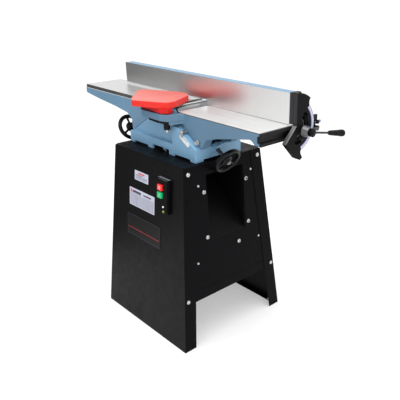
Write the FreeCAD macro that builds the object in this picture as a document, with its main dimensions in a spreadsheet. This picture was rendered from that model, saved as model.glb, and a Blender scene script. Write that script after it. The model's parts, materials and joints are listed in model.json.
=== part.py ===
"""Six-inch surface planer (jointer) on a folded sheet stand.

Frame: +X runs along the tables towards the infeed end, +Y towards the fence side (back),
+Z up. The origin is the middle of the stand's footprint, on the floor. Millimetres."""

import FreeCAD
import Part
import Sketcher
import math
import os

V = FreeCAD.Vector
doc = FreeCAD.newDocument("planer")

# ---------------------------------------------------------------- driving dimensions
DIMS = [
    ("stand_top_z", 700.0), ("stand_top_hx", 213.0), ("stand_top_hy", 185.0),
    ("stand_foot_hx", 265.0), ("stand_foot_hy", 254.0), ("sheet", 2.0), ("flange_w", 53.0),
    ("rail_low", 187.0), ("rail_high", 228.0), ("plate_thk", 2.5), ("anchor_r", 5.0),
    ("out_z", 874.0), ("in_z", 859.5), ("table_front", -98.0), ("table_back", 75.0),
    ("out_end", -560.0), ("out_lip", 14.0), ("in_lip", 82.0), ("in_end", 486.0), ("top_thk", 12.0),
    ("way_angle", 32.0), ("way_left_z", 743.0), ("way_right_z", 749.0), ("way_gap", 0.4),
    ("base_left", -205.0), ("base_right", 200.0), ("base_front", -119.0), ("base_back", 97.0),
    ("base_low", 707.0), ("hollow_front", -62.0), ("hollow_back", 39.0),
    ("head_x", 35.0), ("head_z", 842.0), ("head_body", 29.5), ("cut_radius", 31.5), ("swing_clear", 34.5),
    ("head_front", -80.0), ("head_back", 65.0), ("journal", 8.5), ("bearing_od", 20.0), ("housing_od", 27.0),
    ("head_pulley_r", 24.0), ("motor_pulley_r", 46.0), ("pulley_front", 105.0), ("pulley_wide", 16.0),
    ("motor_x", -60.0), ("motor_z", 300.0), ("motor_body", 72.0),
    ("fence_y", 43.0), ("fence_z", 860.0), ("fence_left", -457.0), ("fence_right", 480.0),
    ("fence_tall", 102.0), ("fence_deep", 37.0), ("fence_plate", 9.0), ("fence_step", 20.5), ("fence_notch", 76.0),
    ("rail_x", 486.3), ("rail_face", 494.0), ("rail_bottom", 817.0), ("rail_top", 859.0),
    ("rail_front", -98.0), ("rail_back", 145.0),
    ("quad_x", 495.5), ("quad_thk", 16.5), ("quad_rim", 86.0), ("slot_in", 39.9), ("slot_out", 54.1),
    ("recess_in", 34.5), ("recess_out", 59.5), ("recess_deep", 9.0),
    ("stud_y", 84.9), ("stud_z", 838.7),
    ("post_x", 65.0), ("post_y", -134.0), ("post_rad", 6.0), ("pin_clear", 0.1),
    ("guard_low", 876.0), ("guard_top", 898.0), ("lug_low", 834.0), ("lug_top", 857.0),
    ("wheel_rad", 47.0), ("wheel_tube", 8.0), ("screw_rad", 7.0),
    ("switch_x", 84.0), ("switch_w", 68.0), ("switch_low", 517.0), ("switch_high", 645.0), ("switch_deep", 38.0),
]
sheet = doc.addObject("Spreadsheet::Sheet", "Dims")
for row, (alias, value) in enumerate(DIMS, start=1):
    sheet.set("A%d" % row, alias)
    sheet.set("B%d" % row, str(value))
    sheet.setAlias("B%d" % row, alias)
doc.recompute()
D = {alias: float(sheet.get(alias)) for alias, _ in DIMS}

KEEP = []  # the sub-parts, in the order they're made


def put(obj, prop, value):
    """A number is set as it is, and a text is an expression on the sheet's aliases, written with a leading Dims."""
    if isinstance(value, str):
        obj.setExpression(prop, value)
    elif prop.startswith(".Placement.Base."):
        base = obj.Placement.Base
        setattr(base, prop[-1], value)
        obj.Placement = FreeCAD.Placement(base, obj.Placement.Rotation)
    else:
        setattr(obj, prop, value)


def place(obj, at, turn=None):
    if turn is not None:
        obj.Placement = FreeCAD.Placement(V(0, 0, 0), turn)
    for axis, value in zip("xyz", at):
        put(obj, ".Placement.Base." + axis, value)
    return obj


def rot(axis, degrees):
    return FreeCAD.Rotation(V(*axis), degrees)


ALONG_X = rot((0, 1, 0), 90)
ALONG_Y = rot((1, 0, 0), -90)


def box(name, at, size):
    obj = doc.addObject("Part::Box", name)
    for prop, value in zip(("Length", "Width", "Height"), size):
        put(obj, prop, value)
    return place(obj, at)


def cyl(name, at, radius, height, turn=None):
    obj = doc.addObject("Part::Cylinder", name)
    put(obj, "Radius", radius)
    put(obj, "Height", height)
    return place(obj, at, turn)


def cone(name, at, low, high, height, turn=None):
    obj = doc.addObject("Part::Cone", name)
    put(obj, "Radius1", low)
    put(obj, "Radius2", high)
    put(obj, "Height", height)
    return place(obj, at, turn)


def torus(name, at, ring, tube, turn=None):
    obj = doc.addObject("Part::Torus", name)
    put(obj, "Radius1", ring)
    put(obj, "Radius2", tube)
    return place(obj, at, turn)


def hexagon(name, at, across_flats, height, turn=None):
    obj = doc.addObject("Part::Prism", name)
    obj.Polygon = 6
    obj.Circumradius = across_flats / math.sqrt(3)
    obj.Height = height
    return place(obj, at, turn)


def fuse(name, *parts):
    obj = doc.addObject("Part::MultiFuse", name)
    obj.Shapes = list(parts)
    obj.Refine = True
    return obj


def common(name, *parts):
    obj = doc.addObject("Part::MultiCommon", name)
    obj.Shapes = list(parts)
    return obj


def group(name, *parts):
    """Separate solids of one kind in one node."""
    obj = doc.addObject("Part::Compound", name)
    obj.Links = list(parts)
    return obj


def cut(name, base, *tools):
    tool = tools[0] if len(tools) == 1 else fuse(name + "_tools", *tools)
    obj = doc.addObject("Part::Cut", name)
    obj.Base = base
    obj.Tool = tool
    return obj


def keep(label, obj):
    obj.Label = label
    KEEP.append(obj)
    return obj


def rounded(points, radii):
    """Corner points with a radius each, as an outline of lines and arcs."""
    out = []
    n = len(points)
    for i, p in enumerate(points):
        r = radii.get(i, 0) if isinstance(radii, dict) else radii
        if not r:
            out.append(p)
            continue
        a, b = points[i - 1], points[(i + 1) % n]
        ua = V(a[0] - p[0], a[1] - p[1], 0).normalize()
        ub = V(b[0] - p[0], b[1] - p[1], 0).normalize()
        half = ua.getAngle(ub) / 2
        run = r / math.tan(half)
        mid = (ua + ub).normalize()
        centre = V(p[0], p[1], 0) + mid * (r / math.sin(half))
        via = centre - mid * r
        out += [(p[0] + ua.x * run, p[1] + ua.y * run), ("via", via.x, via.y), (p[0] + ub.x * run, p[1] + ub.y * run)]
    return out


def ring(x, y, radius):
    return [("circle", x, y, radius)]


def outline(sketch, items):
    if items[0][0] == "circle":
        _, x, y, radius = items[0]
        sketch.addGeometry(Part.Circle(V(x, y, 0), V(0, 0, 1), radius))
        return
    vertices, via = [], {}
    for item in items:
        if item[0] == "via":
            via[len(vertices) - 1] = V(item[1], item[2], 0)
        else:
            vertices.append(V(item[0], item[1], 0))
    made = []
    for i, a in enumerate(vertices):
        b = vertices[(i + 1) % len(vertices)]
        if (b - a).Length < 1e-6:
            continue
        geo = Part.ArcOfCircle(a, via[i], b) if i in via else Part.LineSegment(a, b)
        index = sketch.addGeometry(geo)
        made.append((index, (1, 2) if (geo.StartPoint - a).Length < 1e-6 else (2, 1)))
    for k, (index, ends) in enumerate(made if not via else []):
        following, starts = made[(k + 1) % len(made)]
        sketch.addConstraint(Sketcher.Constraint("Coincident", index, ends[1], following, starts[0]))


def pad(name, plane, start, length, items, holes=()):
    """A body with one sketch on its own origin plane, padded. XY pads up from start, XZ pads towards +Y, YZ towards +X."""
    body = doc.addObject("PartDesign::Body", name)
    sketch = body.newObject("Sketcher::SketchObject", name + "_sketch")
    origin = [f for f in body.Origin.OriginFeatures if f.Role == plane + "_Plane"][0]
    sketch.AttachmentSupport = [(origin, "")]
    sketch.MapMode = "FlatFace"
    sign = -1 if plane == "XZ" else 1
    if isinstance(start, str):
        sketch.setExpression(".AttachmentOffset.Base.z", ("-(%s)" if sign < 0 else "%s") % start)
    else:
        sketch.AttachmentOffset = FreeCAD.Placement(V(0, 0, sign * start), FreeCAD.Rotation())
    outline(sketch, items)
    for hole in holes:
        outline(sketch, hole)
    feature = body.newObject("PartDesign::Pad", name + "_pad")
    feature.Profile = sketch
    put(feature, "Length", length)
    feature.Reversed = plane == "XZ"
    body.Tip = feature
    return body


def slope(z_at, x_at, x):
    return z_at + (x - x_at) * TAN


ANGLE = math.radians(D["way_angle"])
TAN, COS, SIN = math.tan(ANGLE), math.cos(ANGLE), math.sin(ANGLE)

# ================================================================ stand
# The stand's skin is a four-sided taper. The outer layer holds the front and back panels with their
# side flanges, and the side panels lie one sheet further in, behind those flanges.


def taper(name, inset, top, low=0.0):
    """Solid taper, its walls inset by so many millimetres, from low to top."""
    def half(z, axis):
        t, f = D["stand_top_h" + axis], D["stand_foot_h" + axis]
        return f + (t - f) * z / D["stand_top_z"] - inset
    obj = doc.addObject("Part::Wedge", name)
    obj.Ymin, obj.Ymax = low, top
    obj.Xmin, obj.Xmax = -half(low, "x"), half(low, "x")
    obj.Zmin, obj.Zmax = -half(low, "y"), half(low, "y")
    obj.X2min, obj.X2max = -half(top, "x"), half(top, "x")
    obj.Z2min, obj.Z2max = -half(top, "y"), half(top, "y")
    obj.Placement = FreeCAD.Placement(V(0, 0, 0), rot((1, 0, 0), 90))
    return obj


SHEET = D["sheet"]
skin_top = D["stand_top_z"] - D["plate_thk"]
HY0, HY1 = D["stand_foot_hy"], D["stand_foot_hy"] + (D["stand_top_hy"] - D["stand_foot_hy"]) * skin_top / D["stand_top_z"]
HX0, HX1 = D["stand_foot_hx"], D["stand_foot_hx"] + (D["stand_top_hx"] - D["stand_foot_hx"]) * skin_top / D["stand_top_z"]
FL = D["flange_w"]


def half_x(z):
    return D["stand_foot_hx"] + (D["stand_top_hx"] - D["stand_foot_hx"]) * z / D["stand_top_z"]


def half_y(z):
    return D["stand_foot_hy"] + (D["stand_top_hy"] - D["stand_foot_hy"]) * z / D["stand_top_z"]


for label, side in (("front_panel", -1), ("back_panel", 1)):
    skin = cut(label + "_skin", taper(label + "_outer", 0.0, skin_top), taper(label + "_inner", SHEET, skin_top))
    zone = pad(label + "_zone", "YZ", -300.0, 600.0,
               [(side * (HY0 + 5), -1), (side * (HY1 + 5), skin_top + 1), (side * (HY1 - FL), skin_top + 1), (side * (HY0 - FL), -1)])
    shell = common(label + "_folded", skin, zone)
    # a stiffening hem is folded in along the lower edge, and a cap flange takes the top plate's screws
    hem = box(label + "_hem", (-HX0 + 9, side * (HY0 - 12) - 11, 0.0), (2 * HX0 - 18, 22.0, SHEET))
    cap_y = side * (HY1 - 12) - 11
    cap = box(label + "_cap", (-HX1 + 4.4, cap_y, skin_top - SHEET), (2 * HX1 - 8.8, 22.0, SHEET))
    body = fuse(label + "_body", shell, hem, cap)
    holes = [cyl("%s_anchor_%d" % (label, k), (x, side * 242.0, -5.0), "Dims.anchor_r", 15.0) for k, x in enumerate((-220.0, 220.0))]
    if side < 0:
        # opening behind the switch box, and the spare hole low in each flange
        holes.append(box("switch_opening", (D["switch_x"] + 9, -240.0, D["switch_low"] + 18), (D["switch_w"] - 18, 60.0, 92.0)))
        holes.append(cyl("flange_hole", (-300.0, -half_y(581) + 13, 581.0), 5.0, 600.0, ALONG_X))
    keep(label, cut(label + "_solid", body, *holes))

for label, side in (("right_side_panel", 1), ("left_side_panel", -1)):
    skin = cut(label + "_skin", taper(label + "_outer", SHEET, skin_top), taper(label + "_inner", 2 * SHEET, skin_top))
    zone = pad(label + "_zone", "YZ", 150.0 if side > 0 else -300.0, 150.0,
               [(-half_y(228) + 12, D["rail_high"]), (half_y(228) - 12, D["rail_high"]), (HY1 - 8, skin_top), (-HY1 + 8, skin_top)])
    panel = common(label + "_flat", skin, zone)
    # the foot of the panel is folded in, and on the right the chute's mouth is cut
    fold_x = half_x(228) - 2 * SHEET - 18 if side > 0 else -half_x(228) + 2 * SHEET - 1
    fold = box(label + "_fold", (fold_x, -200.0, D["rail_high"]), (19.0, 400.0, SHEET))
    panel = fuse(label + "_bent", panel, fold)
    if side > 0:
        mouth = box("chute_mouth", (190.0, -89.0, 397.0), (70.0, 180.0, 258.0))
        panel = cut(label + "_open", panel, mouth)
    else:
        slots = [box("vent_%d" % i, (-260.0, -60.0, 300.0 + 22 * i), (70.0, 120.0, 8.0)) for i in range(5)]
        panel = cut(label + "_open", panel, *slots)
    keep(label, panel)

for label, side in (("lower_rail_right", 1), ("lower_rail_left", -1)):
    skin = cut(label + "_skin", taper(label + "_outer", SHEET, D["rail_high"] - 0.5, D["rail_low"]),
               taper(label + "_inner", 2 * SHEET, D["rail_high"] - 0.5, D["rail_low"]))
    zone = box(label + "_zone", (150.0 if side > 0 else -300.0, -half_y(228) + 6, 150.0), (150.0, 2 * half_y(228) - 12, 100.0))
    web = common(label + "_web", skin, zone)
    lips = []
    for k, z in enumerate((D["rail_low"], D["rail_high"] - 0.5 - SHEET)):
        x_in = half_x(z + SHEET) - 2 * SHEET - 24
        lips.append(box("%s_lip_%d" % (label, k), (x_in if side > 0 else -x_in - 25.5, -222.0, z), (25.5, 444.0, SHEET)))
    keep(label, fuse(label + "_bent", web, *lips))

# top tray of the stand: rounded plate, open over the chute and for the belt
tray = pad("tray", "XY", "Dims.stand_top_z - Dims.plate_thk", "Dims.plate_thk",
           rounded([(-D["stand_top_hx"], -D["stand_top_hy"]), (D["stand_top_hx"], -D["stand_top_hy"]),
                    (D["stand_top_hx"], D["stand_top_hy"]), (-D["stand_top_hx"], D["stand_top_hy"])], 14.0),
           [rounded([(-64, -58), (150, -58), (150, 34), (-64, 34)], 10.0),
            rounded([(-34, 100), (68, 100), (68, 130), (-34, 130)], 8.0)])
keep("top_plate", tray)

# chip chute: a sloping trough from under the head to the mouth in the right side panel
xb, xc, xd = half_x(398) - 4.3, half_x(655) - 4.3, half_x(689) - 4.3
chute_outer = pad("chute_outer", "XZ", -88.0, 176.0, [(-76, 686), (xb, 398), (xc, 655), (xd, 688.9), (-76, 688.9)])
chute_inner = pad("chute_inner", "XZ", -86.0, 172.0, [(-74, 687), (xb + 40, 363.3), (xc + 60, 700), (-74, 700)])
keep("chip_chute", cut("chute_trough", chute_outer, chute_inner))
ledge = half_x(200) - 8
shelf = pad("shelf", "XZ", -70.0, 140.0, [(-ledge, 189.1), (-ledge + 25, 189.1), (-ledge + 25, 192.1), (-ledge + 3, 192.1), (-ledge + 3, 215), (ledge - 3, 215),
                                          (ledge - 3, 192.1), (ledge - 25, 192.1), (ledge - 25, 189.1), (ledge, 189.1), (ledge, 218), (-ledge, 218)])
keep("motor_shelf", cut("shelf_plate", shelf, box("shelf_slot", (-110.0, -20.0, 210.0), (100.0, 12.0, 12.0))))

# ================================================================ motor and drive
mx, mz = "Dims.motor_x", "Dims.motor_z"
frame = cyl("motor_frame", (mx, -105.0, mz), "Dims.motor_body", 180.0, ALONG_Y)
fins = []
for i in range(12):
    fin = box("motor_fin_%d" % i, (0, 0, 0), (2 * (D["motor_body"] + 5), 170.0, 2.2))
    turn = rot((0, 1, 0), 15.0 * i)
    centre = turn.multVec(V(-(D["motor_body"] + 5), 0, -1.1))
    fin.Placement = FreeCAD.Placement(V(D["motor_x"] + centre.x, -100.0, D["motor_z"] + centre.z), turn)
    fins.append(fin)
foot = pad("motor_foot", "XZ", -60.0, 100.0, [(-125, 218), (5, 218), (5, 226), (-20, 234), (-100, 234), (-125, 226)])
can = cut("motor_can", fuse("motor_can_solid", frame, foot, *fins), cyl("motor_bore", (mx, -60.0, mz), 7.6, 150.0, ALONG_Y))
fan = cut("fan_cover_shell", cyl("fan_cover_out", (mx, -135.0, mz), D["motor_body"] + 1, 29.9, ALONG_Y),
          cyl("fan_cover_in", (mx, -132.0, mz), D["motor_body"] - 2, 40.0, ALONG_Y),
          *[box("fan_slot_%d" % i, (D["motor_x"] - 40, -140.0, 262.0 + 16 * i), (80.0, 12.0, 6.0)) for i in range(5)])
keep("motor_fan_cover", fan)
bell = cut("end_bell", cone("bell", (mx, 75.0, mz), D["motor_body"] - 1, 34.0, 18.0, ALONG_Y),
           cyl("bell_bore", (mx, 70.0, mz), 7.6, 40.0, ALONG_Y))
keep("motor_housing", fuse("motor_housing_solid", can, bell, box("terminal_box", (-162.0, -50.0, 280.0), (40.0, 80.0, 60.0))))
shaft = cyl("rotor_shaft", (mx, -55.0, mz), 7.5, 185.0, ALONG_Y)
keep("motor_shaft", shaft)


def pulley(label, x, z, radius, start, bore):
    """V-belt pulley about Y: a rim with one 38 degree groove, a web and a hub."""
    wide = D["pulley_wide"]
    r = D[radius]
    section = [(bore, 0), (r, 0), (r, 2.6), (r - 10, 6.0), (r - 10, 10.0), (r, 13.4), (r, wide), (bore, wide)]
    body = doc.addObject("PartDesign::Body", label + "_turned")
    sketch = body.newObject("Sketcher::SketchObject", label + "_section")
    origin = [f for f in body.Origin.OriginFeatures if f.Role == "XY_Plane"][0]
    sketch.AttachmentSupport = [(origin, "")]
    sketch.MapMode = "FlatFace"
    outline(sketch, section)
    turned = body.newObject("PartDesign::Revolution", label + "_rev")
    turned.Profile = sketch
    turned.ReferenceAxis = (sketch, ["V_Axis"])
    turned.Angle = 360.0
    body.Tip = turned
    place(body, (x, start, z))
    return body


mp = pulley("motor_pulley", mx, mz, "motor_pulley_r", "Dims.pulley_front", 7.5)
keep("motor_pulley", cut("motor_pulley_lightened", mp, *[
    cyl("motor_pulley_hole_%d" % i, (D["motor_x"] + 24 * math.cos(math.radians(72 * i)), 100.0, D["motor_z"] + 24 * math.sin(math.radians(72 * i))), 6.0, 30.0, ALONG_Y)
    for i in range(5)]))
keep("cutterhead_pulley", pulley("cutterhead_pulley", "Dims.head_x", "Dims.head_z", "head_pulley_r", "Dims.pulley_front", D["journal"]))


def loop(r1, r2):
    """Outline of an open belt round the motor pulley (r1) and the head pulley (r2)."""
    c1, c2 = V(D["motor_x"], D["motor_z"], 0), V(D["head_x"], D["head_z"], 0)
    line = c2 - c1
    base, tilt = math.atan2(line.y, line.x), math.acos((r1 - r2) / line.Length)
    def at(c, r, a):
        return (c.x + r * math.cos(a), c.y + r * math.sin(a))
    a, b = base + tilt, base - tilt
    return [at(c1, r1, a), ("via",) + at(c1, r1, base + math.pi), at(c1, r1, b),
            at(c2, r2, b), ("via",) + at(c2, r2, base), at(c2, r2, a)]


# the belt rides 0.5 mm clear of the groove's flanks and floor
keep("drive_belt", pad("belt", "XZ", D["pulley_front"] + 5.5, 5.0, loop(D["motor_pulley_r"] - 1.5, D["head_pulley_r"] - 1.5),
                       [loop(D["motor_pulley_r"] - 7.0, D["head_pulley_r"] - 7.0)]))

# ================================================================ base casting
bl, br, bf, bb = D["base_left"], D["base_right"], D["base_front"], D["base_back"]
wl, wr, low = D["way_left_z"], D["way_right_z"], D["base_low"]


def left_way(x):
    return wl + (x - bl) * TAN


def right_way(x):
    return wr + (br - x) * TAN


bed = pad("bed", "XZ", "Dims.table_front", "Dims.table_back - Dims.table_front",
          rounded([(bl, low), (bl, left_way(bl)), (-45, left_way(-45)), (-45, 790), (92, 790), (92, right_way(92)), (br, right_way(br)), (br, low)],
                  {3: 12.0, 4: 12.0}))
skirt = box("skirt", ("Dims.base_left", "Dims.base_front", "Dims.base_low"),
            ("Dims.base_right - Dims.base_left", "Dims.base_back - Dims.base_front", "Dims.way_left_z - Dims.base_low"))
apron = pad("apron", "XZ", "Dims.base_front", 22.0,
            rounded([(67, low), (67, right_way(101)), (101, right_way(101)), (br, right_way(br)), (br, low)], {1: 6.0}))
feet = [box("foot_%d" % i, (x, y, D["stand_top_z"]), (w, d, D["base_low"] - D["stand_top_z"] + 1)) for i, (x, y, w, d) in enumerate([
    (bl, bf, 29, 36), (-88, bf, 33, 14), (45, bf, 33, 14), (168, bf, br - 168, 37),
    (bl, bb - 36, 29, 36), (-88, bb - 14, 33, 14), (45, bb - 14, 33, 14), (168, bb - 37, br - 168, 37)])]
posts = []
for side, y, d in (("front", -98.0, 16.0), ("rear", 67.0, 22.0)):
    posts.append(box(side + "_pedestal", ("Dims.head_x - Dims.housing_od", y, 780.0), ("2 * Dims.housing_od", d, "Dims.head_z - 780")))
    posts.append(cyl(side + "_housing", ("Dims.head_x", y, "Dims.head_z"), "Dims.housing_od", d, ALONG_Y))
boss_r = cyl("right_boss", (0, 0, 0), 20.0, 20.0)
SCREW_R = V(256.0, -22.0, 702.0)  # middle of the right handwheel
SCREW_L = V(-304.0, -53.0, 725.0)  # middle of the left handwheel
OUT_R, OUT_L = V(COS, 0, -SIN), V(-COS, 0, -SIN)


def along(point, direction, distance):
    p = point + direction * distance
    return (p.x, p.y, p.z)


def half_nut(x):
    """Height of the half nut's face, 0.6 mm clear under the outfeed screw."""
    return SCREW_L.z + (x - SCREW_L.x) * SIN / COS - (D["screw_rad"] + 0.6) / COS


TURN_R = FreeCAD.Rotation(V(0, 0, 1), OUT_R)
TURN_L = FreeCAD.Rotation(V(0, 0, 1), OUT_L)
back_r = (SCREW_R.x - br) / COS  # distance from the wheel back to the end wall
place(boss_r, along(SCREW_R, OUT_R, -back_r - 12), TURN_R)
# the nut post stands up into the outfeed table's hollow, and its sloping top is the half nut under the outfeed screw
nut_post = fuse("nut_post", pad("nut_post_top", "XZ", -61.3, 23.3, [(-152, 735), (-152, half_nut(-152)), (-122, half_nut(-122)), (-122, 735)]),
                pad("nut_post_root", "XZ", -66.0, 28.0, [(-152, 735), (-152, left_way(-152) - 3), (-122, left_way(-122) - 3), (-122, 735)]))
# cheek walls under the head close the casting front and back
cheeks = [box("cheek_front", (-44.5, "Dims.table_front", 785.0), (114.5, 10.0, 60.0)), box("cheek_back", (-44.5, 66.0, 785.0), (114.5, 9.0, 60.0))]
whole = fuse("base_whole", bed, skirt, apron, boss_r, nut_post, *(feet + posts + cheeks))
core = box("core", (bl + 10, "Dims.hollow_front", 680.0), (br - bl - 20, "Dims.hollow_back - Dims.hollow_front", 300.0))
core_low = box("core_low", (bl + 10, bf + 10, 690.0), (br - bl - 20, bb - bf - 20, 43.0))
arch_f = box("arch_front", (-55.0, bf - 1, 690.0), (100.0, 12.0, 27.0))
arch_b = box("arch_back", (-55.0, bb - 11, 690.0), (100.0, 12.0, 27.0))
# the posts and the nut post keep their place in the core
hollow = cut("hollow", fuse("hollow_all", core, core_low, arch_f, arch_b),
             box("keep_post", (-152.0, -62.0, 733.0), (30.0, 24.0, 130.0)))
bores = [cyl("front_journal", ("Dims.head_x", -99.0, "Dims.head_z"), 12.0, 30.0, ALONG_Y),
         cyl("front_seat", ("Dims.head_x", -95.0, "Dims.head_z"), "Dims.bearing_od", 13.0, ALONG_Y),
         cyl("rear_journal", ("Dims.head_x", 66.0, "Dims.head_z"), 12.0, 30.0, ALONG_Y),
         cyl("rear_seat", ("Dims.head_x", 67.0, "Dims.head_z"), "Dims.bearing_od", 13.0, ALONG_Y)]
screw_bore_r = cyl("right_screw_bore", along(SCREW_R, OUT_R, -back_r - 40), "Dims.screw_rad + Dims.pin_clear", 80.0, TURN_R)
screw_bore_l = cyl("left_screw_bore", along(SCREW_L, OUT_L, -260.0), "Dims.screw_rad + 0.5", 160.0, TURN_L)
bolt_at = [(x, y) for x in (-150.0, 2.0, 150.0) for y in (-100.0, 78.0)]
bosses = [cyl("bolt_boss_%d" % i, (x, y, 704.5), 10.0, 32.0) for i, (x, y) in enumerate(bolt_at)]
bolt_bores = [cyl("bolt_bore_%d" % i, (x, y, 700.0), 5.3, 28.0) for i, (x, y) in enumerate(bolt_at)]
base = cut("base_hollowed", whole, hollow, *bores)
base = fuse("base_bossed", base, *bosses)
base = cut("base_bored", base, screw_bore_r, screw_bore_l, *bolt_bores)
keep("base_casting", base)
anchor = []
for i, (x, y) in enumerate(bolt_at):
    shank = cyl("base_stud_%d" % i, (x, y, 690.0), 4.9, 36.0)
    head = hexagon("base_nut_%d" % i, (x, y, 689.4), 17.0, 8.0)
    anchor.append(fuse("base_bolt_%d" % i, shank, head))
tray_bores = [cyl("tray_bore_%d" % i, (x, y, 690.0), 5.5, 20.0) for i, (x, y) in enumerate(bolt_at)]
KEEP.remove(tray)
tray.Label = "tray_blank"
keep("top_plate", cut("top_plate_bored", tray, *tray_bores))
keep("base_bolts", group("base_bolt_set", *anchor))

# bearings of the cutterhead: outer ring, balls hidden between, and inner ring, as two rings and a cage
bearings = []
for label, y in (("front_bearing", -94.5), ("rear_bearing", 67.5)):
    outer = cut(label + "_outer", cyl(label + "_a", ("Dims.head_x", y, "Dims.head_z"), "Dims.bearing_od - 0.05", 12.0, ALONG_Y),
                cyl(label + "_b", ("Dims.head_x", y - 1, "Dims.head_z"), 16.6, 14.0, ALONG_Y))
    inner = cut(label + "_inner", cyl(label + "_c", ("Dims.head_x", y, "Dims.head_z"), 12.4, 12.0, ALONG_Y),
                cyl(label + "_d", ("Dims.head_x", y - 1, "Dims.head_z"), "Dims.journal + 0.1", 14.0, ALONG_Y))
    shield = cut(label + "_shield", cyl(label + "_e", ("Dims.head_x", y + 1.0, "Dims.head_z"), 16.7, 10.0, ALONG_Y),
                 cyl(label + "_f", ("Dims.head_x", y, "Dims.head_z"), 12.3, 13.0, ALONG_Y))
    bearings.append(fuse(label + "_solid", outer, inner, shield))
keep("head_bearings", group("bearing_pair", *bearings))

# depth scale on the apron, parallel to the way
plate = pad("scale_blank", "XY", -1.0, 2.0, rounded([(-29, -9), (29, -9), (29, 9), (-29, 9)], 8.5),
            [ring(-21, 0, 2.0), ring(21, 0, 2.0)])
turn = rot((0, 1, 0), D["way_angle"]).multiply(rot((1, 0, 0), 90))
plate.Placement = FreeCAD.Placement(V(143.5, bf - 1.0, 771.5), turn)
keep("depth_scale_plate", plate)

# ================================================================ cutterhead
hx, hz = "Dims.head_x", "Dims.head_z"
drum = fuse("drum_on_shaft", cyl("drum", (hx, "Dims.head_front", hz), "Dims.head_body", "Dims.head_back - Dims.head_front", ALONG_Y),
            cyl("arbor", (hx, -97.0, hz), "Dims.journal", 223.0, ALONG_Y))
slots, knives, wedges = [], [], []
for i in range(3):
    angle = 25.0 + 120.0 * i
    turn = rot((0, 1, 0), angle)
    def seat(obj, x, z, obj_turn=turn):
        p = obj_turn.multVec(V(x, 0, z))
        obj.Placement = FreeCAD.Placement(V(D["head_x"] + p.x, D["head_front"], D["head_z"] + p.z), obj_turn)
        return obj
    span = D["head_back"] - D["head_front"]
    slots.append(seat(box("knife_slot_%d" % i, (0, 0, 0), (11.6, span, 16.0)), -5.0, 16.0))
    knives.append(seat(pad("knife_blank_%d" % i, "XZ", 0.0, span, [(0, 0), (3.2, 0), (3.2, 13.6), (0, 15.2)]), -4.8, 16.1))
    wedges.append(seat(box("wedge_%d" % i, (0, 0, 0), (7.6, span, 11.0)), -1.4, 16.1))
keep("cutterhead", cut("cutterhead_slotted", drum, *slots))
keep("cutter_knives", group("knife_set", *knives))
keep("knife_wedges", group("wedge_set", *wedges))

# ================================================================ outfeed table
tf, tb = D["table_front"], D["table_back"]
oz, oe, ol = D["out_z"], D["out_end"], D["out_lip"]
GAP = D["way_gap"] / COS


def swing(name, dx, dz):
    """The room round the cutting circle, swept by the table's travel relative to the head."""
    r = D["swing_clear"]
    a = cyl(name + "_a", (D["head_x"], tf - 60, D["head_z"]), r, tb - tf + 120, ALONG_Y)
    b = cyl(name + "_b", (D["head_x"] + dx, tf - 60, D["head_z"] + dz), r, tb - tf + 120, ALONG_Y)
    run = math.hypot(dx, dz)
    px, pz = -dz / run * r, dx / run * r
    p = [(D["head_x"] + px, D["head_z"] + pz), (D["head_x"] + dx + px, D["head_z"] + dz + pz),
         (D["head_x"] + dx - px, D["head_z"] + dz - pz), (D["head_x"] - px, D["head_z"] - pz)]
    return fuse(name, a, b, pad(name + "_c", "XZ", tf - 60, tb - tf + 120, p))


out_top = pad("out_slab", "XZ", "Dims.table_front", "Dims.table_back - Dims.table_front",
              [(oe, oz), (ol, oz), (ol, oz - 12), (-20, oz - 12), (oe + 8, oz - 14), (oe, oz - 14)])
# rabbet along the front edge: a ground strip, then a narrow ledge, over the painted side
under = rounded([(oe - 0.0, oz - 6), (oe, oz - 36), (-453, 825), (-337, 814), (-247, 801), (-217, 779), (-217, left_way(-217) + GAP),
                 (-47, left_way(-47) + GAP), (-47, 858), (-20, 862), (-20, oz - 6)], {2: 60.0, 3: 60.0, 4: 26.0, 5: 10.0})
side_f = pad("out_skirt_front", "XZ", "Dims.table_front", 10.0, under)
side_b = pad("out_skirt_back", "XZ", "Dims.table_back - 10", 10.0, under)
block = rounded([(-217, oz - 6), (-217, left_way(-217) + GAP), (-47, left_way(-47) + GAP), (-47, oz - 6)], {})
way_f = pad("out_way_front", "XZ", "Dims.table_front", "Dims.hollow_front - Dims.table_front", block)
way_b = pad("out_way_back", "XZ", "Dims.hollow_back", "Dims.table_back - Dims.hollow_back", block)
end_web = box("out_end_web", (-217.0, tf, left_way(-217) + 6.0), (11.0, tb - tf, 120.0))
end_web = common("out_end_web_cut", end_web, pad("out_web_zone", "XZ", tf, tb - tf, block))
key_o = pad("out_key", "XZ", 20.0, 12.5, [(-180, left_way(-180) - 22), (-180, oz - 8), (-60, oz - 8), (-60, left_way(-60) - 22)])
ribs_o = [pad("out_rib_%d" % i, "XZ", tf + 5, tb - tf - 10,
              [(x, oz - 8), (x, oz - drop), (x + 8, oz - drop), (x + 8, oz - 8)]) for i, (x, drop) in enumerate(((oe, 36), (-450, 40), (-345, 46)))]
lug_hole = cyl("out_screw_hole", along(SCREW_L, OUT_L, -140.0), "Dims.screw_rad + Dims.pin_clear", 120.0, TURN_L)
table_o = fuse("out_casting", out_top, side_f, side_b, way_f, way_b, end_web, key_o,
               cyl("out_screw_boss", along(SCREW_L, OUT_L, -126.0), 17.0, 24.0, TURN_L), *ribs_o)
keep("outfeed_table", cut("out_machined", table_o, swing("out_swing", 5.1, 3.2), lug_hole,
                          box("out_strip", (oe - 1, tf - 1, oz - 12.0), (ol - oe + 2, 1.0 + 3.2, 12.5))))
keep("outfeed_gib", pad("gib_bar", "XZ", 32.9, 5.7, [(-178, left_way(-178) - 20), (-178, left_way(-178) - 2), (-62, left_way(-62) - 2), (-62, left_way(-62) - 20)]))
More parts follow.
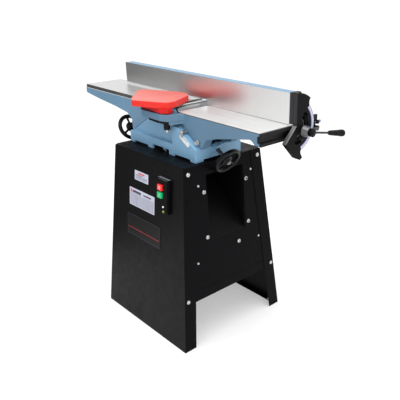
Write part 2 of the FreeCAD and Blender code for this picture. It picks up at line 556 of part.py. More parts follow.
lock_o = fuse("out_lock", hexagon("out_lock_head", (-232.0, -82.0, 765.0), 17.0, 9.0, ALONG_X),
              cyl("out_lock_washer", (-223.0, -82.0, 765.0), 10.5, 3.0, ALONG_X),
              cyl("out_lock_shank", (-220.0, -82.0, 765.0), 5.0, 2.95, ALONG_X))
keep("outfeed_lock_bolt", lock_o)

# ================================================================ infeed table
iz, il, ie = D["in_z"], D["in_lip"], D["in_end"]
in_top = pad("in_slab", "XZ", "Dims.table_front", "Dims.table_back - Dims.table_front",
             [(il, iz), (ie, iz), (ie, iz - 9), (478, iz - 12), (106, iz - 12), (il, iz - 12)])
under = rounded([(96, iz - 5), (96, iz - 12), (106, right_way(106) + GAP), (205, right_way(205) + GAP), (231, 784), (281, 800), (383, 820), (447, 832),
                 (464, 820), (466, 817), (ie, 817), (ie, 825.5), (476.5, 827), (476.5, iz - 9), (476.5, iz - 5)],
                {4: 8.0, 5: 40.0, 6: 60.0, 7: 18.0})
side_f = pad("in_skirt_front", "XZ", "Dims.table_front", 10.0, under)
side_b = pad("in_skirt_back", "XZ", "Dims.table_back - 10", 10.0, under)
block = [(106, iz - 6), (106, right_way(106) + GAP), (205, right_way(205) + GAP), (231, 784), (231, iz - 6)]
way_f = pad("in_way_front", "XZ", "Dims.table_front", "Dims.hollow_front - Dims.table_front", block)
way_b = pad("in_way_back", "XZ", "Dims.hollow_back", "Dims.table_back - Dims.hollow_back", block)
end_post = pad("in_end_post", "XZ", "Dims.table_front + 1", "Dims.table_back - Dims.table_front - 2",
               [(464, iz - 6), (464, 817), (ie, 817), (ie, 825.5), (476.5, 827), (476.5, iz - 9), (476.5, iz - 6)])
key_i = [pad("in_key_%d" % i, "XZ", y, w, [(108, right_way(108) - 20), (108, iz - 8), (188, iz - 8), (188, right_way(188) - 20)])
         for i, (y, w) in enumerate(((-61.5, 12.0), (20.0, 12.5)))]
web = pad("in_nut_web", "XZ", -50.0, 71.0, [(128, iz - 8), (128, right_way(128) - 34), (156, right_way(156) - 34), (156, iz - 8)])
ribs_i = [box("in_rib_%d" % i, (x, tf + 5, iz - drop), (8.0, tb - tf - 10, drop - 8.0)) for i, (x, drop) in enumerate(((300.0, 44.0), (395.0, 34.0)))]
lug = pad("lug", "XY", "Dims.lug_low", "Dims.lug_top - Dims.lug_low",
          rounded([(-92, -101.5), (-84, -140), (-50, -162), (66, -164), (98, -152), (121, -96), (97, -96), (97, -101.5)], {1: 18.0, 2: 30.0, 3: 34.0, 4: 22.0}))
lug_web = pad("lug_web", "XY", 823.0, 12.0, rounded([(90, -101), (90, -146), (99, -146), (121, -96), (100, -96), (100, -101)], {1: 3.0, 2: 3.0}))
table_i = fuse("in_casting", in_top, side_f, side_b, way_f, way_b, end_post, web, lug, lug_web, *(key_i + ribs_i))
nut_hole = cyl("in_screw_hole", along(SCREW_R, OUT_R, -230.0), "Dims.screw_rad + 0.5", 170.0, TURN_R)
post_bore = cyl("post_bore", ("Dims.post_x", "Dims.post_y", 800.0), "Dims.post_rad + 0.02", 80.0)
keep("infeed_table", cut("in_machined", table_i, swing("in_swing", 22.4, -14.0), nut_hole, post_bore))
keep("infeed_gib", pad("gib_bar_in", "XZ", 32.9, 5.7, [(112, right_way(112) - 18), (112, right_way(112) - 2), (188, right_way(188) - 2), (188, right_way(188) - 18)]))
lock_i = fuse("in_lock", hexagon("in_lock_head", (191.0, -110.0, 769.5), 13.0, 7.0, ALONG_Y),
              cyl("in_lock_washer", (191.0, -103.0, 769.5), 9.0, 2.0, ALONG_Y),
              cyl("in_lock_shank", (191.0, -101.0, 769.5), 4.0, 3.0, ALONG_Y))
keep("infeed_lock_bolt", lock_i)
point = fuse("pointer_solid", pad("pointer_blade", "XZ", -124.5, 1.5, [(124, 806), (140, 806), (140, 792), (133, 780), (124, 792)]),
             box("pointer_arm", (126.0, -123.1, 797.0), (13.0, 25.1, 6.0)),
             cyl("pointer_screw", (132.5, -127.5, 799.5), 4.5, 3.1, ALONG_Y))
keep("depth_pointer", point)

# ================================================================ handwheels
def handwheel(label, middle, turn, out, reach):
    """Ring, three dished spokes and hub about the screw's axis. Local +Z looks out along the screw."""
    rim = torus(label + "_ring", (0, 0, 0), "Dims.wheel_rad", "Dims.wheel_tube")
    hub = cyl(label + "_hub", (0, 0, -16.0), 13.0, 22.0)
    arms = []
    for i in range(3):
        arm = cone("%s_spoke_%d" % (label, i), (0, 0, 0), 5.4, 4.2, D["wheel_rad"] - 8.0)
        turn_i = rot((0, 0, 1), 120.0 * i + 30.0).multiply(rot((0, 1, 0), 94.0))
        start = turn_i.multVec(V(0, 0, 8.0))
        arm.Placement = FreeCAD.Placement(V(start.x, start.y, start.z - 3.0 + 4.0), turn_i)
        arms.append(arm)
    bore = cyl(label + "_bore", (0, 0, -20.0), D["screw_rad"] - 2.0, 40.0)
    wheel = cut(label + "_wheel", fuse(label + "_cast", rim, hub, *arms), bore)
    wheel.Placement = FreeCAD.Placement(middle, turn)
    keep(label, wheel)
    # screw: thread core, neck through the hub and shoulder behind it
    neck = cyl(label + "_neck", (0, 0, -20.0), D["screw_rad"] - 2.05, 25.0)
    core = cyl(label + "_core", (0, 0, -reach), D["screw_rad"], reach - 16.2)
    rod = fuse(label + "_rod", neck, core)
    rod.Placement = FreeCAD.Placement(middle, turn)
    keep(label.replace("handwheel", "screw"), rod)
    nut = fuse(label + "_nut_solid", hexagon(label + "_nut_hex", (0, 0, 6.1), 15.0, 6.0), cyl(label + "_nut_tip", (0, 0, 12.0), 4.4, 2.5))
    nut.Placement = FreeCAD.Placement(middle, turn)
    keep(label + "_nut", nut)


handwheel("infeed_handwheel", SCREW_R, TURN_R, OUT_R, 186.0)
handwheel("outfeed_handwheel", SCREW_L, TURN_L, OUT_L, 226.0)

# ================================================================ cutterhead guard
upper = rounded([(-76, -182), (-136, -126), (-176, -92), (-186, -70), (-166, -50), (-40, 12), (2, 12), (34, -8), (84, -108), (86, -140), (40, -168), (-40, -206)],
                {0: 20.0, 1: 60.0, 2: 20.0, 3: 14.0, 4: 22.0, 5: 18.0, 6: 14.0, 7: 16.0, 8: 18.0, 9: 24.0, 10: 60.0, 11: 18.0})
plate_g = pad("guard_plate", "XY", "Dims.guard_low", "Dims.guard_top - Dims.guard_low", upper)
lower = rounded([(-112, -104), (-112, -132), (-60, -150), (66, -160), (88, -146), (88, -122), (60, -106)], {0: 8.0, 1: 12.0, 2: 40.0, 3: 18.0, 4: 12.0, 5: 14.0})
hub_g = pad("guard_hub", "XY", 858.2, "Dims.guard_low - 858.2", lower)
hollow_g = pad("guard_hollow", "XY", "Dims.guard_low - 1", 16.0,
               rounded([(-100, -96), (-120, -60), (-30, -6), (20, -20), (40, -60), (0, -96)], 10.0))
keep("cutter_guard", cut("guard_bored", fuse("guard_solid", plate_g, hub_g), hollow_g,
                         cyl("guard_bore", ("Dims.post_x", "Dims.post_y", 850.0), "Dims.post_rad + Dims.pin_clear", 40.0)))
keep("guard_post", fuse("guard_post_solid", cyl("guard_post_pin", ("Dims.post_x", "Dims.post_y", 796.0), "Dims.post_rad", 92.0),
                        cone("guard_post_tip", ("Dims.post_x", "Dims.post_y", 888.0), "Dims.post_rad", 4.5, 1.5)))
keep("guard_spring_housing", cut("spring_housing", fuse("spring_case",
     pad("spring_flange", "XY", 822.0, 11.9, rounded([(-30, -122), (-30, -150), (40, -156), (86, -150), (86, -123)], 12.0)),
     cyl("spring_can", ("Dims.post_x", "Dims.post_y", 799.0), 12.0, 24.0)),
     cyl("spring_bore", ("Dims.post_x", "Dims.post_y", 790.0), "Dims.post_rad + 0.02", 60.0)))
keep("guard_spring_screw", cut("spring_screw", cyl("spring_screw_head", ("Dims.post_x", "Dims.post_y", 789.0), 5.5, 6.9),
                               box("spring_screw_slot", (D["post_x"] - 7, D["post_y"] - 0.8, 788.0), (14.0, 1.6, 2.6))))

# ================================================================ fence
fy, fz = D["fence_y"], D["fence_z"]
tall, deep, thk, step = D["fence_tall"], D["fence_deep"], D["fence_plate"], D["fence_step"]
section_in = rounded([(fy, fz), (fy, fz + tall), (fy + deep, fz + tall), (fy + deep, fz + tall - 9), (fy + thk, fz + tall - 11), (fy + thk, fz + thk)], {4: 5.0})
face_in = pad("fence_infeed", "YZ", "Dims.fence_notch", "Dims.fence_right - Dims.fence_notch", section_in)
section_out = rounded([(fy, fz + step), (fy, fz + tall), (fy + deep, fz + tall), (fy + deep, fz + tall - 9), (fy + thk, fz + tall - 11), (fy + thk, fz + step + thk)], {4: 5.0})
face_out = pad("fence_outfeed", "YZ", "Dims.fence_left", "Dims.fence_notch - Dims.fence_left", section_out)
ribs_f = [pad("fence_rib_%d" % i, "YZ", x, 8.0, [(fy + 5, fz + 38), (fy + 5, fz + tall - 5), (fy + deep - 1, fz + tall - 5), (fy + thk + 3, fz + 46)])
          for i, x in enumerate((-456.0, -330.0, -200.0, -75.0, 130.0, 250.0, 370.0))]
keep("fence", fuse("fence_casting", face_in, face_out, *ribs_f))


def polar(radius, degrees):
    return (fy + radius * math.cos(math.radians(degrees)), fz + radius * math.sin(math.radians(degrees)))


rim = D["quad_rim"]
sector = [(fy - 0.5, fz + 104), (fy - 0.5, fz + 1), (fy - 9, fz - 9), (fy - 49.5, fz - 49.5), (fy + 2, fz - 105), polar(118, -78), polar(114, -72),
          polar(96, -74.5), polar(rim, -73), ("via",) + polar(rim, -13), polar(rim, 47), polar(96, 52), polar(105, 52), ("via",) + polar(105, 72), polar(105, 90)]
quad = pad("sector", "YZ", "Dims.quad_x", "Dims.quad_thk", sector)
flange_q = pad("sector_flange", "YZ", "Dims.fence_right + 0.02", "Dims.quad_x - Dims.fence_right + 1",
               [(fy + 0.5, fz + 4), (fy + 0.5, fz + 104), (fy + deep - 1, fz + 104), (fy + deep - 1, fz + 52), (fy + 30, fz + 56), (fy + 22, fz + 60),
                (fy + 7, fz + 63), (fy + 7, fz + 12), (fy + 3, fz + 4)])
mid = (D["slot_in"] + D["slot_out"]) / 2
slot = pad("sector_slot", "YZ", "Dims.quad_x - 1", "Dims.quad_thk + 2",
           [polar(D["slot_in"], 21), ("via",) + polar(D["slot_in"], -20), polar(D["slot_in"], -60), ("via",) + polar(mid, -68.7),
            polar(D["slot_out"], -60), ("via",) + polar(D["slot_out"], -20), polar(D["slot_out"], 21), ("via",) + polar(mid, 29.7)])
# a deep blind recess is cast in round the slot, and the rim is turned for the scale
tray_q = pad("sector_tray", "YZ", "Dims.quad_x + Dims.quad_thk - Dims.recess_deep", "Dims.recess_deep + 1",
             [polar(D["recess_in"], 36), ("via",) + polar(D["recess_in"], -24), polar(D["recess_in"], -84), ("via",) + polar(mid, -99.2),
              polar(D["recess_out"], -84), ("via",) + polar(D["recess_out"], -24), polar(D["recess_out"], 36), ("via",) + polar(mid, 51.2)])
band_seat = pad("band_seat", "YZ", "Dims.quad_x + Dims.quad_thk - 1.5", 3.0,
                [polar(71.5, 46), ("via",) + polar(71.5, -13), polar(71.5, -72), polar(rim + 3, -72), ("via",) + polar(rim + 3, -13), polar(rim + 3, 46)])
keep("fence_quadrant", cut("sector_machined", fuse("sector_cast", quad, flange_q), slot, tray_q, band_seat))
band = pad("band_blank", "YZ", "Dims.quad_x + Dims.quad_thk - 1.4", 1.2,
           [polar(72.5, 45), ("via",) + polar(72.5, -13), polar(72.5, -71), polar(rim - 0.6, -71), ("via",) + polar(rim - 0.6, -13), polar(rim - 0.6, 45)])
keep("tilt_scale_band", band)

# ---------------------------------------------------------------- end rail and carriage
rx, rf, rb, rt = D["rail_x"], D["rail_face"], D["rail_bottom"], D["rail_top"]
section_r = [(477.0, 827.5), (rx, 826.0), (rx, rb), (rf, rb), (rf, 828.0), (rx + 0.5, 828.0), (rx + 0.5, 848.0), (rf, 848.0), (rf, rt), (rx, rt), (rx, iz - 9.5), (478.2, iz - 12.7), (477.0, iz - 12.7)]
keep("end_rail", pad("rail_bar", "XZ", "Dims.rail_front", "Dims.rail_back - Dims.rail_front", section_r))
slide = box("carriage_slide", (rx + 0.9, 52.0, 828.4), (rf - rx - 0.9, 98.0, 19.2))
arm = pad("carriage_arm", "YZ", rx + 0.9, rf - rx - 0.9, rounded([(147, 829), (147, 878), (168, 878), (168, 858), (160, 845), (160, 829)], {1: 3.0, 2: 3.0}))
lug_a = box("stop_lug", (rx + 0.9, 147.5, 829.0), (25.4, 9.0, 15.0))
lug_b = box("index_lug", (rx + 0.9, 147.5, 851.0), (25.4, 9.0, 12.0))
stud = cyl("lock_stud", (rf - 1, "Dims.stud_y", "Dims.stud_z"), 6.0, 44.0, ALONG_X)
# a thin shield on the slide closes the quadrant's slot from behind over the whole tilt
shield_root = box("shield_root", (rf - 1.0, 80.0, 829.0), (2.3, 66.0, 18.0))
shield = pad("shield_plate", "YZ", rf + 0.2, 1.1, [polar(34, 33), ("via",) + polar(34, -21), polar(34, -75), polar(61.7, -75), ("via",) + polar(61.7, -21), polar(61.7, 33)])
stop_bore = cyl("stop_bore", (505.0, 140.0, 836.5), 4.05, 30.0, ALONG_Y)
pin_bore = cyl("pin_bore", (505.0, 140.0, 857.0), 3.15, 30.0, ALONG_Y)
keep("fence_carriage", cut("carriage_bored", fuse("carriage_solid", slide, arm, lug_a, lug_b, stud, shield_root, shield), stop_bore, pin_bore))
keep("tilt_stop_bolt", fuse("tilt_stop", cyl("tilt_stop_body", (505.0, 140.0, 836.5), 4.0, 22.0, ALONG_Y),
                            hexagon("tilt_stop_head", (505.0, 156.6, 836.5), 13.0, 6.0, ALONG_Y)))
pin = fuse("index_pin", cyl("index_pin_body", (505.0, 141.0, 857.0), 3.0, 26.0, ALONG_Y), cyl("index_pin_knob", (505.0, 160.6, 857.0), 4.6, 8.0, ALONG_Y))
keep("index_plunger", pin)
# pointer that reads the tilt band: a strip from the carriage's lug round the rim to the band's face
pointer = pad("tilt_pointer_blade", "YZ", D["quad_x"] + D["quad_thk"] + 0.6, 1.4, [polar(113, -17), polar(113, -10), polar(88, -11), polar(78, -13.5), polar(88, -16)])
keep("tilt_pointer", pointer)

# ---------------------------------------------------------------- lock lever
sy, sz = D["stud_y"], D["stud_z"]
face = D["quad_x"] + D["quad_thk"]
lock_cone = cut("cone_washer", cone("cone_blank", (face + 0.4, sy, sz), 21.5, 13.0, 21.0, ALONG_X), cyl("cone_bore", (face - 1, sy, sz), 6.1, 30.0, ALONG_X))
keep("lock_cone_washer", lock_cone)
lever_dir = V(0.30, 0.945, -0.13).normalize()
lever_turn = FreeCAD.Rotation(V(0, 0, 1), lever_dir)
lever_root = V(face + 25.5, sy, sz)
hub = cyl("lever_hub", (face + 21.8, sy, sz), 13.5, 14.0, ALONG_X)
ball = cyl("lever_cap", (face + 35.7, sy, sz), 8.0, 3.0, ALONG_X)
rod = cyl("lever_rod", (lever_root.x, lever_root.y, lever_root.z), 3.6, 82.0, lever_turn)
keep("lock_lever", cut("lever_bored", fuse("lever_solid", hub, ball, rod), cyl("lever_bore", (face, sy, sz), 6.1, 26.0, ALONG_X)))
grip_at = lever_root + lever_dir * 68.0
grip = cut("grip_bored", fuse("grip_solid",
           cone("grip_neck", (0, 0, 0), 7.0, 9.6, 10.0), cone("grip_body", (0, 0, 10.0), 9.6, 11.6, 46.0), cone("grip_end", (0, 0, 56.0), 11.6, 8.5, 8.0)),
           cyl("grip_bore", (0, 0, -1.0), 3.65, 16.0))
grip.Placement = FreeCAD.Placement(grip_at, lever_turn)
keep("lever_grip", grip)

# ================================================================ belt cover behind the head
cover_out = pad("cover_out", "XZ", 98.0, 33.0, rounded([(-46, 700.1), (4, 850), (20, 869.8), (50, 869.8), (66, 850), (76, 700.1)], {1: 10.0, 2: 14.0, 3: 14.0, 4: 10.0}))
cover_in = pad("cover_in", "XZ", 96.0, 33.0, rounded([(-44, 690), (6, 850), (20, 867.8), (50, 867.8), (64, 850), (74, 690)], {1: 9.0, 2: 12.0, 3: 12.0, 4: 9.0}))
keep("belt_cover", cut("cover_shell", cover_out, cover_in))

# ================================================================ switch on the front panel
lean = math.degrees(math.atan((D["stand_foot_hy"] - D["stand_top_hy"]) / D["stand_top_z"]))  # the panel leans back by this much


def on_front(obj, x, z, proud=0.0):
    """Sets an object made on the XZ plane, facing -Y, onto the leaning front panel at height z."""
    turn = rot((1, 0, 0), lean * -1.0)
    n = turn.multVec(V(0, -1, 0))
    obj.Placement = FreeCAD.Placement(V(x, -half_y(z), z) + n * proud, turn)
    return obj


sw, sh = D["switch_w"], (D["switch_high"] - D["switch_low"]) / math.cos(math.radians(lean))
sx, s0 = D["switch_x"], D["switch_low"]
case = pad("switch_case", "XZ", -13.0, 13.0, rounded([(0, 0), (sw, 0), (sw, sh), (0, sh)], 5.0))
rear = pad("switch_rear", "XZ", 0.0, 24.0, rounded([(10, 20), (sw - 10, 20), (sw - 10, 108), (10, 108)], 4.0))
wells = [box("button_well_%d" % i, (11.0, -14.0, z), (27.0, 22.0, 23.0)) for i, z in enumerate((54.5, 82.5))]
case = on_front(cut("switch_body", fuse("switch_solid", case, rear), *wells), sx, s0, 0.05)
keep("switch_box", case)
frame = pad("switch_frame", "XZ", -15.4, 2.35, rounded([(4, 4), (sw - 4, 4), (sw - 4, sh - 4), (4, sh - 4)], 4.0),
            [rounded([(9, 52), (40, 52), (40, 108), (9, 108)], 3.0)])
keep("switch_escutcheon", on_front(frame, sx, s0, 0.05))
for label, z in (("stop_button", 82.5), ("start_button", 54.5)):
    button = pad(label + "_cap", "XZ", -21.0, 21.0, rounded([(11.4, z + 0.4), (37.6, z + 0.4), (37.6, z + 22.6), (11.4, z + 22.6)], 2.5))
    keep(label, on_front(button, sx, s0, 0.05))
lamp = pad("lamp_lens", "XZ", -18.42, 3.0, ring(44.0, 26.0, 3.4))
keep("pilot_lamp", on_front(lamp, sx, s0, 0.05))

# plain plates where the front panel carries its labels
plates = []
for label, x, z, w, tall_p in (("upper_info", -76.0, 592.0, 88.0, 37.0), ("middle_info", -110.0, 485.0, 163.0, 70.0), ("lower_name", -125.0, 361.0, 216.0, 88.0)):
    blank = pad(label + "_blank", "XZ", -1.0, 1.0, rounded([(0, 0), (w, 0), (w, tall_p), (0, tall_p)], 2.0))
    plates.append(on_front(blank, x, z, 0.05))
keep("info_plates", group("info_plate_pair", *plates[:2]))
keep("name_plate", plates[2])


# ================================================================ fasteners of the stand
def on_side(z, y, side, name, radius, tall_s, recess=True):
    """Pan head with a socket, standing on a stand wall; its shank reaches one sheet in."""
    turn = FreeCAD.Rotation(V(0, 0, 1), V(side, 0, math.tan(math.atan((D["stand_foot_hx"] - D["stand_top_hx"]) / D["stand_top_z"]))).normalize())
    head = cyl(name + "_head", (0, 0, 0), radius, tall_s * 0.6)
    dome = cone(name + "_dome", (0, 0, tall_s * 0.6), radius, radius * 0.72, tall_s * 0.4)
    obj = fuse(name + "_solid", head, dome)
    if recess:
        obj = cut(name + "_cut", obj, hexagon(name + "_socket", (0, 0, tall_s * 0.45), radius * 0.9, tall_s))
    obj.Placement = FreeCAD.Placement(V(side * half_x(z), y, z), turn)
    return obj


large, rails, chutes, panels = [], [], [], []
for side in (1, -1):
    for y in (-167.0, 167.0):
        large.append(on_side(675.0, y, side, "corner_screw_%d_%d" % (side + 1, int(y) + 200), 8.0, 4.6, False))
    for y in (-218.0, 218.0):
        large.append(on_side(203.0, y, side, "rail_screw_%d_%d" % (side + 1, int(y) + 300), 7.6, 4.6, False))


def flush(obj):
    obj.Placement = FreeCAD.Placement(obj.Placement.Base - V((SHEET + 0.0) * (1 if obj.Placement.Base.x > 0 else -1), 0, 0), obj.Placement.Rotation)
    return obj


for k, (y, z) in enumerate(((-103.0, 596.0), (103.0, 597.0), (-103.0, 423.0), (104.0, 424.0), (49.0, 358.0))):
    chutes.append(flush(on_side(z, y, 1, "chute_screw_%d" % k, 8.0, 5.0)))
keep("chute_screws", group("chute_screw_set", *chutes))
for side in (1, -1):
    for y, z in ((-126.0, 624.0), (130.0, 627.0), (-156.0, 336.0), (156.0, 345.0)):
        panels.append(flush(on_side(z, y, side, "panel_screw_%d_%d" % (side + 1, int(y) + 300), 4.6, 3.4, False)))
keep("stand_screws", group("stand_screw_set", *(large + panels)))

doc.recompute()

# ================================================================ checks and export
bad = [o.Label for o in doc.Objects if any(s in ("Invalid", "Error") for s in o.State)]
if bad:
    raise SystemExit("objects left failed: %s" % ", ".join(bad))
labels = [o.Label for o in KEEP]
if len(set(labels)) != len(labels) or len(labels) > 60:
    raise SystemExit("labels: %d, of which %d differ" % (len(labels), len(set(labels))))
for o in KEEP:
    if o.Shape.isNull() or not o.Shape.isValid() or not o.Shape.Solids:
        raise SystemExit("shape of %s isn't sound" % o.Label)
os.makedirs("parts", exist_ok=True)
for o in KEEP:
    o.Shape.exportStep("parts/%s.step" % o.Label)
    print("%-26s solids %2d  volume %10.0f" % (o.Label, len(o.Shape.Solids), o.Shape.Volume))
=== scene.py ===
import json
import math
import bpy
import bmesh
from mathutils import Matrix, Vector

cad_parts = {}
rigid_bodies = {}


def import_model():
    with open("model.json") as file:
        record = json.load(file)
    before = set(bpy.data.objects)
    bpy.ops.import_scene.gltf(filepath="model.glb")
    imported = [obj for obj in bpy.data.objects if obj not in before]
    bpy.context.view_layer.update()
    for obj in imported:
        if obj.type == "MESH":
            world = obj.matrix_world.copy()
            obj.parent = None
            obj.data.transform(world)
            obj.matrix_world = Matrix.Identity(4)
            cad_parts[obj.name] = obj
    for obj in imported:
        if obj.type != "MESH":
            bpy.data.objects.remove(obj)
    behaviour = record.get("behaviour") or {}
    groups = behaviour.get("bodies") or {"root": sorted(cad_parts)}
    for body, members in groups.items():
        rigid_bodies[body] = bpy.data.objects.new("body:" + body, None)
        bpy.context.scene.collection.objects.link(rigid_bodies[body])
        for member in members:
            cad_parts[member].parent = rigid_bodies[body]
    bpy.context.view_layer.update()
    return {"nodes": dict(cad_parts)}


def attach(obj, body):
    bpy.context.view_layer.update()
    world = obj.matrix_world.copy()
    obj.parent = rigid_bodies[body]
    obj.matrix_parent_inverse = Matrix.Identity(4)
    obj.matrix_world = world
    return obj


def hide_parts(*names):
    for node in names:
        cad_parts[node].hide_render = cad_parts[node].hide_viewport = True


for old in list(bpy.data.objects):
    bpy.data.objects.remove(old)

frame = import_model()
NODES = frame["nodes"]

COL = bpy.context.scene.collection
LEAN = math.atan((254.0 - 185.0) / 700.0)
WAY = math.radians(32.0)
CW, SW = math.cos(WAY), math.sin(WAY)


def half_y(z):
    return 0.254 + (0.185 - 0.254) * z / 0.7


def half_x(z):
    return 0.265 + (0.213 - 0.265) * z / 0.7


def lin(r, g, b):
    """Linear colour from display values of 0 to 255."""
    def one(v):
        v /= 255.0
        return v / 12.92 if v <= 0.04045 else ((v + 0.055) / 1.055) ** 2.4
    return (one(r), one(g), one(b))


def shade(c, k):
    return tuple(min(1.0, v * k) for v in c)


# ------------------------------------------------------------------ materials
class Mat:
    """A material with a Principled shader and short calls for the nodes in front of it."""

    def __init__(self, name, color, rough, metal=0.0, **sockets):
        self.mat = bpy.data.materials.new(name)
        self.mat.use_nodes = True
        self.tree = self.mat.node_tree
        self.shader = self.tree.nodes["Principled BSDF"]
        self.shader.inputs["Base Color"].default_value = (*color, 1.0)
        self.shader.inputs["Roughness"].default_value = rough
        self.shader.inputs["Metallic"].default_value = metal
        for key, value in sockets.items():
            self.shader.inputs[key.replace("_", " ")].default_value = value
        self.place = self.tree.nodes.new("ShaderNodeTexCoord").outputs["Object"]
        self.normal = None

    def new(self, kind, **props):
        node = self.tree.nodes.new("ShaderNode" + kind)
        for key, value in props.items():
            setattr(node, key, value)
        return node

    def feed(self, socket, value):
        if hasattr(value, "is_output"):
            self.tree.links.new(value, socket)
        elif isinstance(value, tuple) and len(value) == 3 and socket.type == "RGBA":
            socket.default_value = (*value, 1.0)
        else:
            socket.default_value = value

    def set(self, name, value):
        self.feed(self.shader.inputs[name], value)

    def mapped(self, scale=(1, 1, 1), turn=(0, 0, 0), shift=(0, 0, 0), kind="POINT"):
        node = self.new("Mapping", vector_type=kind)
        self.feed(node.inputs["Vector"], self.place)
        node.inputs["Scale"].default_value = scale
        node.inputs["Rotation"].default_value = turn
        node.inputs["Location"].default_value = shift
        return node.outputs["Vector"]

    def noise(self, scale, detail=2.0, rough=0.5, at=None, twist=0.0):
        node = self.new("TexNoise")
        self.feed(node.inputs["Vector"], self.place if at is None else at)
        node.inputs["Scale"].default_value = scale
        node.inputs["Detail"].default_value = detail
        node.inputs["Roughness"].default_value = rough
        node.inputs["Distortion"].default_value = twist
        return node.outputs["Fac"]

    def cells(self, scale, at=None, feature="F1"):
        node = self.new("TexVoronoi", feature=feature)
        self.feed(node.inputs["Vector"], self.place if at is None else at)
        node.inputs["Scale"].default_value = scale
        return node.outputs["Distance"]

    def ramp(self, fac, stops, ease="LINEAR"):
        node = self.new("ValToRGB")
        node.color_ramp.interpolation = ease
        marks = node.color_ramp.elements
        while len(marks) < len(stops):
            marks.new(0.5)
        for mark, (pos, value) in zip(marks, stops):
            mark.position = pos
            mark.color = (*value, 1.0) if isinstance(value, tuple) else (value, value, value, 1.0)
        self.feed(node.inputs["Fac"], fac)
        return node.outputs["Color"]

    def span(self, fac, lo, hi, a, b):
        node = self.new("MapRange")
        for key, value in zip(("Value", "From Min", "From Max", "To Min", "To Max"), (fac, lo, hi, a, b)):
            self.feed(node.inputs[key], value)
        return node.outputs["Result"]

    def mix(self, fac, a, b, blend="MIX"):
        node = self.new("Mix", data_type="RGBA", blend_type=blend)
        self.feed(node.inputs[0], fac)
        self.feed(node.inputs[6], a)
        self.feed(node.inputs[7], b)
        return node.outputs[2]

    def calc(self, op, a, b=0.0, clamp=False):
        node = self.new("Math", operation=op, use_clamp=clamp)
        self.feed(node.inputs[0], a)
        if op not in ("ABSOLUTE", "FRACT", "SQRT", "SINE", "COSINE", "FLOOR"):
            self.feed(node.inputs[1], b)
        return node.outputs[0]

    def axes(self):
        node = self.new("SeparateXYZ")
        self.feed(node.inputs[0], self.place)
        return node.outputs

    def bump(self, height, strength, distance):
        node = self.new("Bump")
        node.inputs["Strength"].default_value = strength
        node.inputs["Distance"].default_value = distance
        self.feed(node.inputs["Height"], height)
        if self.normal is not None:
            self.feed(node.inputs["Normal"], self.normal)
        self.normal = node.outputs["Normal"]
        self.feed(self.shader.inputs["Normal"], self.normal)


def powder_coat(name, color, rough=0.42, spec=0.2, peel=0.35):
    m = Mat(name, color, rough, Specular_IOR_Level=spec)
    cloud = m.noise(2.6, 4.0, 0.6)
    speck = m.noise(520.0, 1.0)
    base = m.mix(m.span(cloud, 0.3, 0.7, 0.0, 1.0), shade(color, 0.82), shade(color, 1.25))
    m.set("Base Color", m.mix(m.span(speck, 0.55, 0.8, 0.0, 0.4), base, shade(color, 1.9)))
    m.set("Roughness", m.span(m.noise(34.0, 3.0), 0.3, 0.7, rough - 0.05, rough + 0.08))
    m.bump(m.noise(620.0, 2.0, 0.6), peel, 0.0004)
    return m


def casting_paint(name, color, rough=0.36, spec=0.45, machined=None):
    """Machine enamel over a sanded casting: slow waves, fine pits and a faint drift of tone."""
    m = Mat(name, color, rough, Specular_IOR_Level=spec)
    cloud = m.noise(7.0, 4.0, 0.55)
    base = m.mix(m.span(cloud, 0.3, 0.7, 0.0, 1.0), shade(color, 0.93), shade(color, 1.07))
    grime = m.noise(60.0, 5.0, 0.7)
    base = m.mix(m.span(grime, 0.62, 0.85, 0.0, 0.35), base, shade(color, 0.72))
    m.set("Base Color", base)
    m.set("Roughness", m.span(m.noise(90.0, 3.0), 0.3, 0.7, rough - 0.07, rough + 0.09))
    m.bump(m.noise(38.0, 2.0, 0.5), 0.28, 0.0016)
    m.bump(m.noise(430.0, 3.0, 0.65), 0.22, 0.0004)
    return m


def ground_steel(name, color, rough, scale, metal=1.0, depth=0.22, turn=(0, 0, 0), blotch=0.06, waves=0.0):
    """Metal with fine parallel machining marks. scale is small along the marks."""
    m = Mat(name, color, rough, metal)
    lines = m.noise(1.0, 3.0, 0.65, m.mapped(scale, turn))
    coarse = m.noise(1.0, 1.0, 0.5, m.mapped(tuple(v * 0.22 for v in scale), turn))
    tone = m.mix(m.span(lines, 0.25, 0.75, 0.0, 1.0), shade(color, 0.86), shade(color, 1.08))
    tone = m.mix(m.span(coarse, 0.35, 0.65, 0.0, 0.45), tone, shade(color, 0.9))
    tone = m.mix(m.span(m.noise(9.0, 4.0, 0.6), 0.45, 0.8, 0.0, 1.0), tone, shade(color, 1.0 - blotch * 2))
    m.set("Base Color", tone)
    m.set("Roughness", m.calc("ADD", m.span(lines, 0.3, 0.7, rough - 0.05, rough + 0.06), m.span(m.noise(14.0, 3.0), 0.3, 0.7, -blotch, blotch)))
    m.bump(lines, depth, 0.0002)
    if waves:
        m.bump(coarse, waves, 0.0004)
    return m


def enamel(name, color, rough=0.16, spec=0.6, coat=0.6, wave=0.12):
    m = Mat(name, color, rough, Specular_IOR_Level=spec, Coat_Weight=coat, Coat_Roughness=0.08)
    m.set("Base Color", m.mix(m.span(m.noise(12.0, 3.0), 0.3, 0.7, 0.0, 1.0), shade(color, 0.92), shade(color, 1.06)))
    m.set("Roughness", m.span(m.noise(120.0, 2.0), 0.3, 0.7, rough, rough + 0.1))
    m.bump(m.noise(75.0, 2.0), wave, 0.0007)
    return m


def zinc(name, color=(0.62, 0.62, 0.60), rough=0.3, metal=1.0):
    m = Mat(name, color, rough, metal)
    m.set("Base Color", m.mix(m.span(m.noise(160.0, 3.0), 0.35, 0.7, 0.0, 1.0), shade(color, 0.85), shade(color, 1.12)))
    m.set("Roughness", m.span(m.noise(420.0, 2.0), 0.3, 0.7, rough - 0.06, rough + 0.12))
    m.bump(m.noise(900.0, 2.0), 0.15, 0.0001)
    return m


